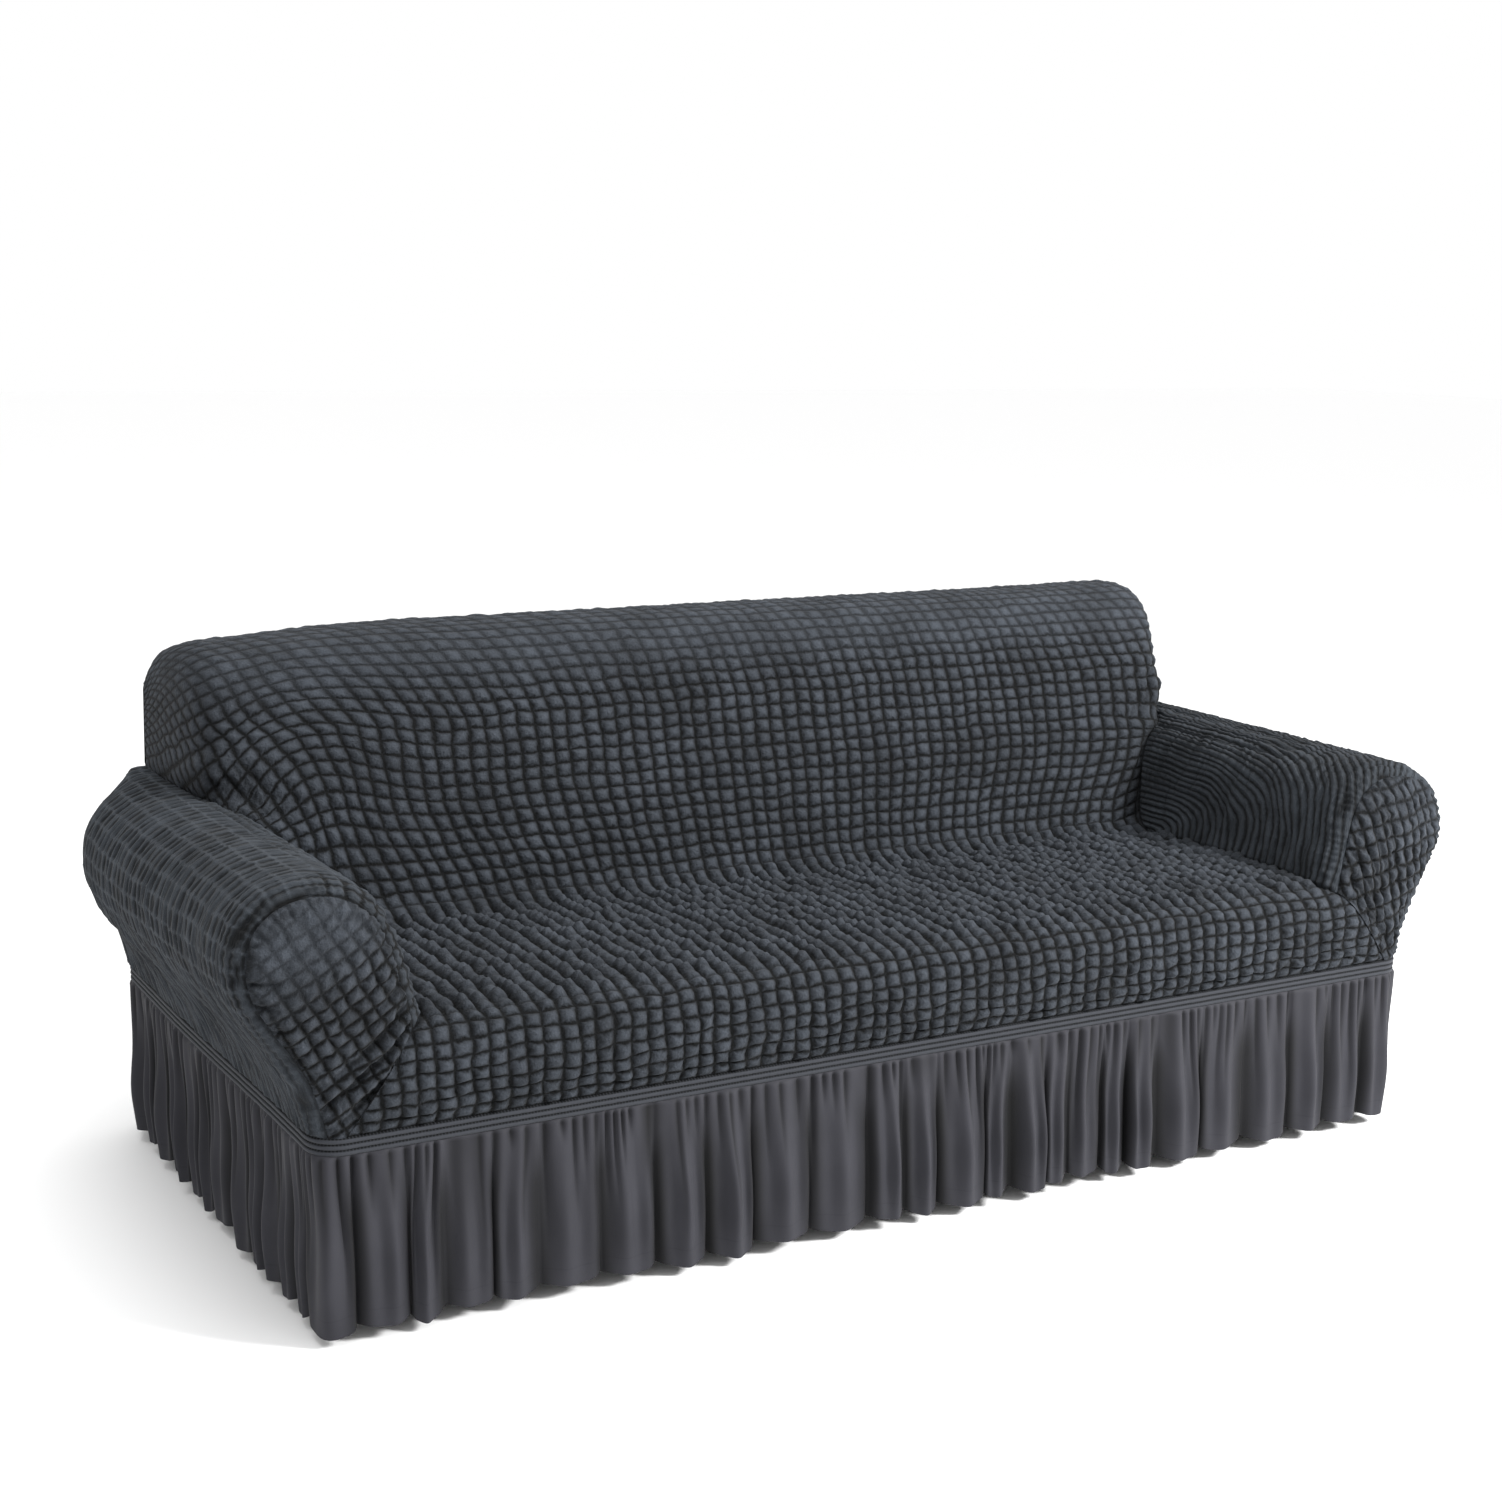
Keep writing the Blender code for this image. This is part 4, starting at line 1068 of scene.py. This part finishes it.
class SLIPCOVER_OT_arm_fronts(bpy.types.Operator):
    """Lay the cloth over the front faces of both arms"""

    bl_idname = "slipcover.arm_fronts"
    bl_label = "Arm Front Cloths"

    # each arm's name and side, its squares' turn, width and height, folds, pull from outside, and seed
    sides = (
        ("left", -1, math.radians(29), 0.0245, 0.0205, LEFT_FRONT_FOLDS, 1.0, 81),
        ("right", 1, math.radians(12), 0.0190, 0.0290, RIGHT_FRONT_FOLDS, 0.2, 91),
    )
    pull_centre = (0.97, 0.48)  # beyond this, outwards and up, the cloth is pulled flatter
    pull_slope = 0.6
    pull_length = 0.12
    pulled_grooves = 0.55
    pulled_relief = 0.4
    flatness = 0.85
    rim_calm = (0.6, 0.015)  # so much flatter at the rim, over this length
    wrinkle_height = 0.0026
    rim_wrinkle_width = 0.007
    rim_wrinkle_reach = 0.03
    stray = 0.0035

    def rim(self):
        """Edge of the right arm front: over the roll, round the base's corner and up the fall."""
        a = np.linspace(0.0, 1.0, 160)
        over = arm_surface(a, seam_front(along(ARM_LINE, a)[:, 1]))
        x, y = HALF_LENGTH - CORNER_RADIUS, CORNER_RADIUS - HALF_DEPTH
        turn = np.linspace(math.atan2(over[-1, 0] - x, y - over[-1, 1]), 0.0, 12)[1:-1]
        tip = grid_of(x + CORNER_RADIUS * np.sin(turn), y - CORNER_RADIUS * np.cos(turn), BAND_TOP)
        fall = np.array([side_seam(share) for share in np.linspace(0.0, FALL_END, 30)])
        return np.vstack([over, tip, fall])

    def face_depth(self, rim, x, z):
        """y of the face at places x and z, rising from its rim to its middle."""
        cx, cz = ARM_FACE_CENTRE
        middle = seam_front(cz) - SEAM_INSET_DEPTH - ARM_BULGE
        angle = np.arctan2(rim[:, 2] - cz, rim[:, 0] - cx)
        order = np.argsort(angle)
        radius = np.hypot(rim[:, 2] - cz, rim[:, 0] - cx)[order]
        here = np.arctan2(z - cz, x - cx)
        reach = np.interp(here, angle[order], radius, period=2 * math.pi)
        edge = np.interp(here, angle[order], rim[order, 1], period=2 * math.pi)
        t = np.clip(1.0 - np.hypot(z - cz, x - cx) / reach, 0.0, 1.0)
        return mix(edge, middle, np.sqrt(np.sin(t * math.pi / 2)))

    def grid(self, rim, mirror, grain, width, height):
        """Points of the right arm's face on a turned grid up to the rim, and their places in squares."""
        c, s = math.cos(grain), math.sin(grain)
        edge_x, edge_z = rim[:, 0] * mirror, rim[:, 2]
        along_grain = (edge_x * c + edge_z * s) / width
        up_grain = (edge_z * c - edge_x * s) / height
        v = square_lines(math.floor(up_grain.min()), math.ceil(up_grain.max()), STEPS_FINE)
        u = square_lines(math.floor(along_grain.min()), math.ceil(along_grain.max()), STEPS_FINE)
        v_at = np.clip(v, up_grain.min() + 1e-4, up_grain.max() - 1e-4)[:, None]
        u_at = np.empty((len(v), len(u)))
        low, high = up_grain, np.roll(up_grain, -1)
        start, end = along_grain, np.roll(along_grain, -1)
        for j, level in enumerate(v_at):
            cross = (low - level) * (high - level) <= 0
            step = np.where(high == low, 1.0, high - low)[cross]
            hits = mix(start[cross], end[cross], np.clip((level - low[cross]) / step, 0, 1))
            u_at[j] = np.clip(u, hits.min(), hits.max())
        p, q = u_at * width, v_at * height
        x, z = (p * c - q * s) * mirror, p * s + q * c
        return grid_of(x, self.face_depth(rim, x, z), z), np.broadcast_to(u, u_at.shape), v[:, None]

    def execute(self, context):
        looks = context.scene.slipcover_looks
        rim = self.rim()
        cloth = bubble_stretch_cloth("flat_bubble_cloth", looks.cloth_colour, looks.groove_shade_colour)
        for side, mirror, grain, width, height, folds, pull, seed in self.sides:
            points, u, v = self.grid(rim, mirror, grain, width, height)
            gap = np.linalg.norm(points[:, :, None, :] - rim[None, None], axis=-1)
            edge, round_rim = gap.min(axis=-1), run_lengths(rim)[gap.argmin(axis=-1)]
            points *= (mirror, 1, 1)
            belonging = (points[..., ::2], u, edge, round_rim)
            grids = facing_out((mirror * 0.96, 0.0, 0.48), settle(points), *belonging)
            points, flat, u, edge, round_rim = grids
            pull_x, pull_z = self.pull_centre
            beyond = flat[..., 1] - pull_z + self.pull_slope * (np.abs(flat[..., 0]) - pull_x)
            tight = smooth(beyond / self.pull_length) * pull
            depth = 1.0 - self.pulled_grooves * tight
            relief = looks.puff_height * self.flatness * puffs(u, v, seed, depth, depth)
            calm, calm_reach = self.rim_calm
            relief = relief * (1.0 - self.pulled_relief * tight) * (1.0 - calm * np.exp(-edge / calm_reach))
            # wrinkles all over, and finer ones that follow the rim near it
            wrinkles = wander(u * 1.9, v * 2.9, seed + 11)
            bend = wander(round_rim / 0.04, edge / 0.03, seed + 6)
            near = np.exp(-edge / self.rim_wrinkle_reach)
            arcs = wander(edge / self.rim_wrinkle_width + bend, round_rim / 0.05, seed + 7)
            relief = relief + self.wrinkle_height * (wrinkles + arcs * near)
            relief = relief + gathers(round_rim, edge, seed + 5)
            folded = creases(flat, folds)
            # painted shade in the hollows of the wrinkles by the rim and all over, and in the folds
            rim_wrinkle_shade = np.clip(-1.8 * arcs - 0.2, 0.0, 0.9) * near
            painted_shade = np.maximum.reduce([painted_fold_shade(folded), rim_wrinkle_shade, np.clip(-wrinkles - 0.45, 0.0, 0.6)])
            points = lay_cloth(points, u, v, edge, relief - folded, seed + 3, ARM_SEAM, self.stray)
            shares = {"columns": depth, "rows": depth, "folds": painted_shade}
            name = "arm_front_cloth_" + side
            piece = make_piece(name, "arm_front_" + side, cloth, points, u, v, **shares)
        return {"FINISHED"}


class SLIPCOVER_OT_band(bpy.types.Operator):
    """Run the ribbed elastic band round the cover"""

    bl_idname = "slipcover.band"
    bl_label = "Elastic Band"

    columns = 820
    ribs = 3
    lines_per_rib = 8
    rib_height = 0.0034
    hollow_depth = 0.001
    turned_in = 0.012  # the band's edges are turned in by this
    ruching = (0.0003, 0.006)  # depth and length of the ribs' unevenness
    stitch_length = 0.005

    def execute(self, context):
        looks = context.scene.slipcover_looks
        run = np.linspace(0.0, BASE_LENGTH, self.columns + 1)
        x, y, out_x, out_y = base_outline(run).T
        rows = np.linspace(0.0, self.ribs, self.lines_per_rib * self.ribs + 1)
        swell = arch(rows, 0.5) * self.rib_height - self.hollow_depth
        depth, length = self.ruching
        raised = swell[:, None] + depth * wander(run / length, 0.0, 5)
        out = np.pad(raised, ((1, 1), (0, 0)), constant_values=-self.turned_in)
        rows = np.pad(rows, 1, mode="edge")[:, None]
        height = mix(BAND_BOTTOM, BAND_TOP, rows / self.ribs)
        points = settle(grid_of(x + out_x * out, y + out_y * out, height))
        stitches = np.broadcast_to(run / self.stitch_length, out.shape)
        points, stitches = facing_out((0.0, 0.0, 0.29), points, stitches)
        elastic = ribbed_elastic(looks.band_colour, looks.stitch_colour)
        piece = make_piece("band", "elastic_band", elastic, points, stitches, rows)
        return {"FINISHED"}


class SLIPCOVER_OT_skirt(bpy.types.Operator):
    """Hang the gathered skirt from the band"""

    bl_idname = "slipcover.skirt"
    bl_label = "Skirt"

    columns = 2600
    lines_down = 32
    gather_pitch = 0.023
    gather_kinds = 997  # so many lengths of gather are drawn before they repeat
    gather_lengths = (0.15, 1.05)  # as shares of the skirt's height
    fold_depths = (0.006, 0.030)  # at the band and at the hem, more than the plain solid's
    lobe_fullness = 0.48
    second_folds = 0.32  # height of the smaller folds on the lobes
    hem_arc = 0.009  # the hem rises by this in the valleys
    fold_inset = 0.010  # the valleys between the lobes lie this far inside the solid's
    lean = 0.010  # folds lean sideways by this, so that one side of each is steep
    tucked_length = 0.03  # this share of the height lies behind the band,
    tucked_depth = 0.006  # and so far inside it

    def folds(self, run):
        """Place in its fold, strength, hem and number of the fold at each distance round the base."""
        random = np.random.RandomState(FOLD_SEED)
        count = round(BASE_LENGTH / SKIRT_FOLD_PITCH)
        widths = random.uniform(*SKIRT_FOLD_WIDTHS, count)
        widths *= BASE_LENGTH / widths.sum()
        starts = np.concatenate([[0.0], np.cumsum(widths)])
        strengths = random.uniform(*SKIRT_FOLD_STRENGTHS, count)
        hems = random.uniform(-1.0, 1.0, count)
        fold = np.clip(np.searchsorted(starts, run, side="right") - 1, 0, count - 1)
        return (run - starts[fold]) / widths[fold], strengths[fold], hems[fold], fold

    def gathered(self, run, drop):
        """Depth share of the wedges between the small gathers, which end at different heights."""
        beat = run / self.gather_pitch + 1.3 * wander(run / 0.06, 0.0, 9)
        lengths = np.random.RandomState(FOLD_SEED + 1).uniform(*self.gather_lengths, self.gather_kinds)
        reach = lengths[np.rint(beat).astype(int) % self.gather_kinds]
        return (1.0 - arch(beat, 0.75)) * smooth(1.0 - drop / reach) * smooth(drop / 0.03 + 0.25)

    def execute(self, context):
        looks = context.scene.slipcover_looks
        run = np.linspace(0.0, BASE_LENGTH, self.columns + 1)
        place, strength, hem, fold = self.folds(run)
        # shares of the way down, closer together under the band
        down = np.linspace(0.0, 1.0, self.lines_down) ** 1.35
        drop = np.concatenate([[-self.tucked_length], down])[:, None]
        below = np.maximum(drop, 0.0)
        lobe = np.sin(math.pi * np.clip(place, 0, 1)) ** self.lobe_fullness
        second = np.sin(2 * math.pi * (2 * place + wander(fold * 1.7, 0.0, 8))) * lobe
        folds = lobe + self.second_folds * second * smooth(2.0 - 1.6 * drop)
        folds = folds * mix(*self.fold_depths, smooth(drop * 1.1 + 0.12)) * strength
        wedge = self.gathered(run, drop)
        gather = looks.gather_depth * 1.5 * wedge * (1.0 + 0.4 * wander(run / 0.03, 0.0, 10))
        way = np.sign(wander(fold * 1.3, 0.0, 14) + 0.4)
        shift = self.lean * strength * lobe * smooth(drop * 1.6) * way
        x, y, out_x, out_y = np.moveaxis(base_outline(run + shift), -1, 0)
        flare = mix(SKIRT_FLARE_FRONT, SKIRT_FLARE_SIDE, np.abs(out_x)) * below
        out = folds - gather + flare - self.fold_inset * smooth(drop * 2.0)
        out = mix(out, -self.tucked_depth, ramp(drop, 0.02, -self.tucked_length))
        lift = (HEM_UNEVENNESS * hem * lobe + self.hem_arc * (1.0 - lobe**2)) * below**3
        z = mix(BAND_BOTTOM, HEM_HEIGHT, drop) + lift
        points = settle(grid_of(x + out_x * out, y + out_y * out, z))
        # painted shade, deepest in the valleys between the lobes and in the wedges between the gathers
        valley = smooth(1.7 * (1.0 - lobe)) * smooth(drop * 2.2 + 0.1) * (0.5 + 0.5 * strength)
        valley = np.maximum(valley, wedge)
        around = np.broadcast_to(run / 0.01, z.shape)
        points, around, valley = facing_out((0.0, 0.0, 0.15), points, around, valley)
        above_hem = (1.0 - drop) * (BAND_BOTTOM - HEM_HEIGHT) * 1000
        cloth = plain_polyester_cloth(looks.skirt_colour, looks.hem_colour)
        piece = make_piece("skirt_cloth", "skirt", cloth, points, around, above_hem, valley=valley)
        return {"FINISHED"}


class SLIPCOVER_OT_stage(bpy.types.Operator):
    """Set up the floor, the lamps and the camera"""

    bl_idname = "slipcover.stage"
    bl_label = "Stage"

    # Camera's place from the floor under the middle, and its turn in degrees
    camera_place = np.array([-1.9067, -3.2556, 1.4276])
    camera_turn = (29.545, 11.302, 1.079)  # to the right, down, and rolled clockwise
    target = np.array([0.0, 0.0, 0.45])
    key_place = np.array([2.8, -3.3, 3.0])
    key_size = 1.2
    top_place = np.array([-1.2, -0.2, 3.8])
    top_size = 2.4
    floor_size = 30.0

    def camera_matrix(self):
        """The camera's place and turn."""
        yaw, pitch, roll = (math.radians(a) for a in self.camera_turn)
        view = Vector((math.sin(yaw) * math.cos(pitch), math.cos(yaw) * math.cos(pitch), -math.sin(pitch)))
        right = Vector((math.cos(yaw), -math.sin(yaw), 0.0))
        up = right.cross(view)
        right, up = right * math.cos(roll) + up * math.sin(roll), up * math.cos(roll) - right * math.sin(roll)
        matrix = Matrix((right, up, -view)).transposed().to_4x4()
        matrix.translation = Vector(self.camera_place - HANG_POINT)
        return matrix

    def lamp(self, context, name, place, size, power):
        """Hangs a round lamp that shines at the sofa's middle."""
        data = bpy.data.lights.new(name, "AREA")
        data.energy = power
        data.shape = "DISK"
        data.size = size
        lamp = bpy.data.objects.new(name, data)
        lamp.location = Vector(place - HANG_POINT)
        lamp.rotation_euler = Vector(self.target - place).to_track_quat("-Z", "Y").to_euler()
        context.scene.collection.objects.link(lamp)

    def execute(self, context):
        stage = context.scene.slipcover_stage
        bm = bmesh.new()
        bmesh.ops.create_grid(bm, x_segments=1, y_segments=1, size=self.floor_size)
        bmesh.ops.translate(bm, verts=bm.verts, vec=(0.0, 0.0, -HANG_POINT[2]))
        mesh = bpy.data.meshes.new("floor")
        bm.to_mesh(mesh)
        bm.free()
        paint, _, shader = new_material("matt_floor_paint", 0.9, 0.0)
        shader.inputs["Base Color"].default_value = (*stage.floor_colour, 1.0)
        mesh.materials.append(paint)
        floor = bpy.data.objects.new("floor", mesh)
        context.scene.collection.objects.link(floor)
        self.lamp(context, "key", self.key_place, self.key_size, stage.key_power)
        self.lamp(context, "overhead", self.top_place, self.top_size, stage.top_power)
        world = bpy.data.worlds.new("studio")
        world.use_nodes = True
        background = world.node_tree.nodes["Background"]
        background.inputs["Color"].default_value = (1.0, 1.0, 1.0, 1.0)
        background.inputs["Strength"].default_value = stage.sky_strength
        context.scene.world = world
        lens = bpy.data.cameras.new("camera")
        lens.sensor_width = 36.0
        lens.lens = stage.focal_length
        camera = bpy.data.objects.new("camera", lens)
        camera.matrix_world = self.camera_matrix()
        context.scene.collection.objects.link(camera)
        context.scene.camera = camera
        context.scene.view_settings.view_transform = "Standard"
        return {"FINISHED"}


class SLIPCOVER_PT_sidebar(bpy.types.Panel):
    """The slipcover's settings and pieces"""

    bl_idname = "SLIPCOVER_PT_sidebar"
    bl_label = "Slipcover"
    bl_space_type = "VIEW_3D"
    bl_region_type = "UI"
    bl_category = "Slipcover"

    def draw(self, context):
        for group in (context.scene.slipcover_looks, context.scene.slipcover_stage):
            for name in group.__annotations__:
                self.layout.prop(group, name)
        for operator in OPERATORS:
            self.layout.operator(operator.bl_idname)


OPERATORS = (
    SLIPCOVER_OT_seat_back,
    SLIPCOVER_OT_outside_back,
    SLIPCOVER_OT_arms,
    SLIPCOVER_OT_arm_fronts,
    SLIPCOVER_OT_band,
    SLIPCOVER_OT_skirt,
    SLIPCOVER_OT_stage,
)
CLASSES = (SlipcoverLooks, SlipcoverStage, *OPERATORS, SLIPCOVER_PT_sidebar)


def register():
    for item in CLASSES:
        bpy.utils.register_class(item)
    bpy.types.Scene.slipcover_looks = bpy.props.PointerProperty(type=SlipcoverLooks)
    bpy.types.Scene.slipcover_stage = bpy.props.PointerProperty(type=SlipcoverStage)


def unregister():
    del bpy.types.Scene.slipcover_stage
    del bpy.types.Scene.slipcover_looks
    for item in reversed(CLASSES):
        bpy.utils.unregister_class(item)


def main():
    register()
    bpy.ops.slipcover.seat_back()
    bpy.ops.slipcover.outside_back()
    bpy.ops.slipcover.arms()
    bpy.ops.slipcover.arm_fronts()
    bpy.ops.slipcover.band()
    bpy.ops.slipcover.skirt()
    bpy.ops.slipcover.stage()


if __name__ == "__main__":
    main()
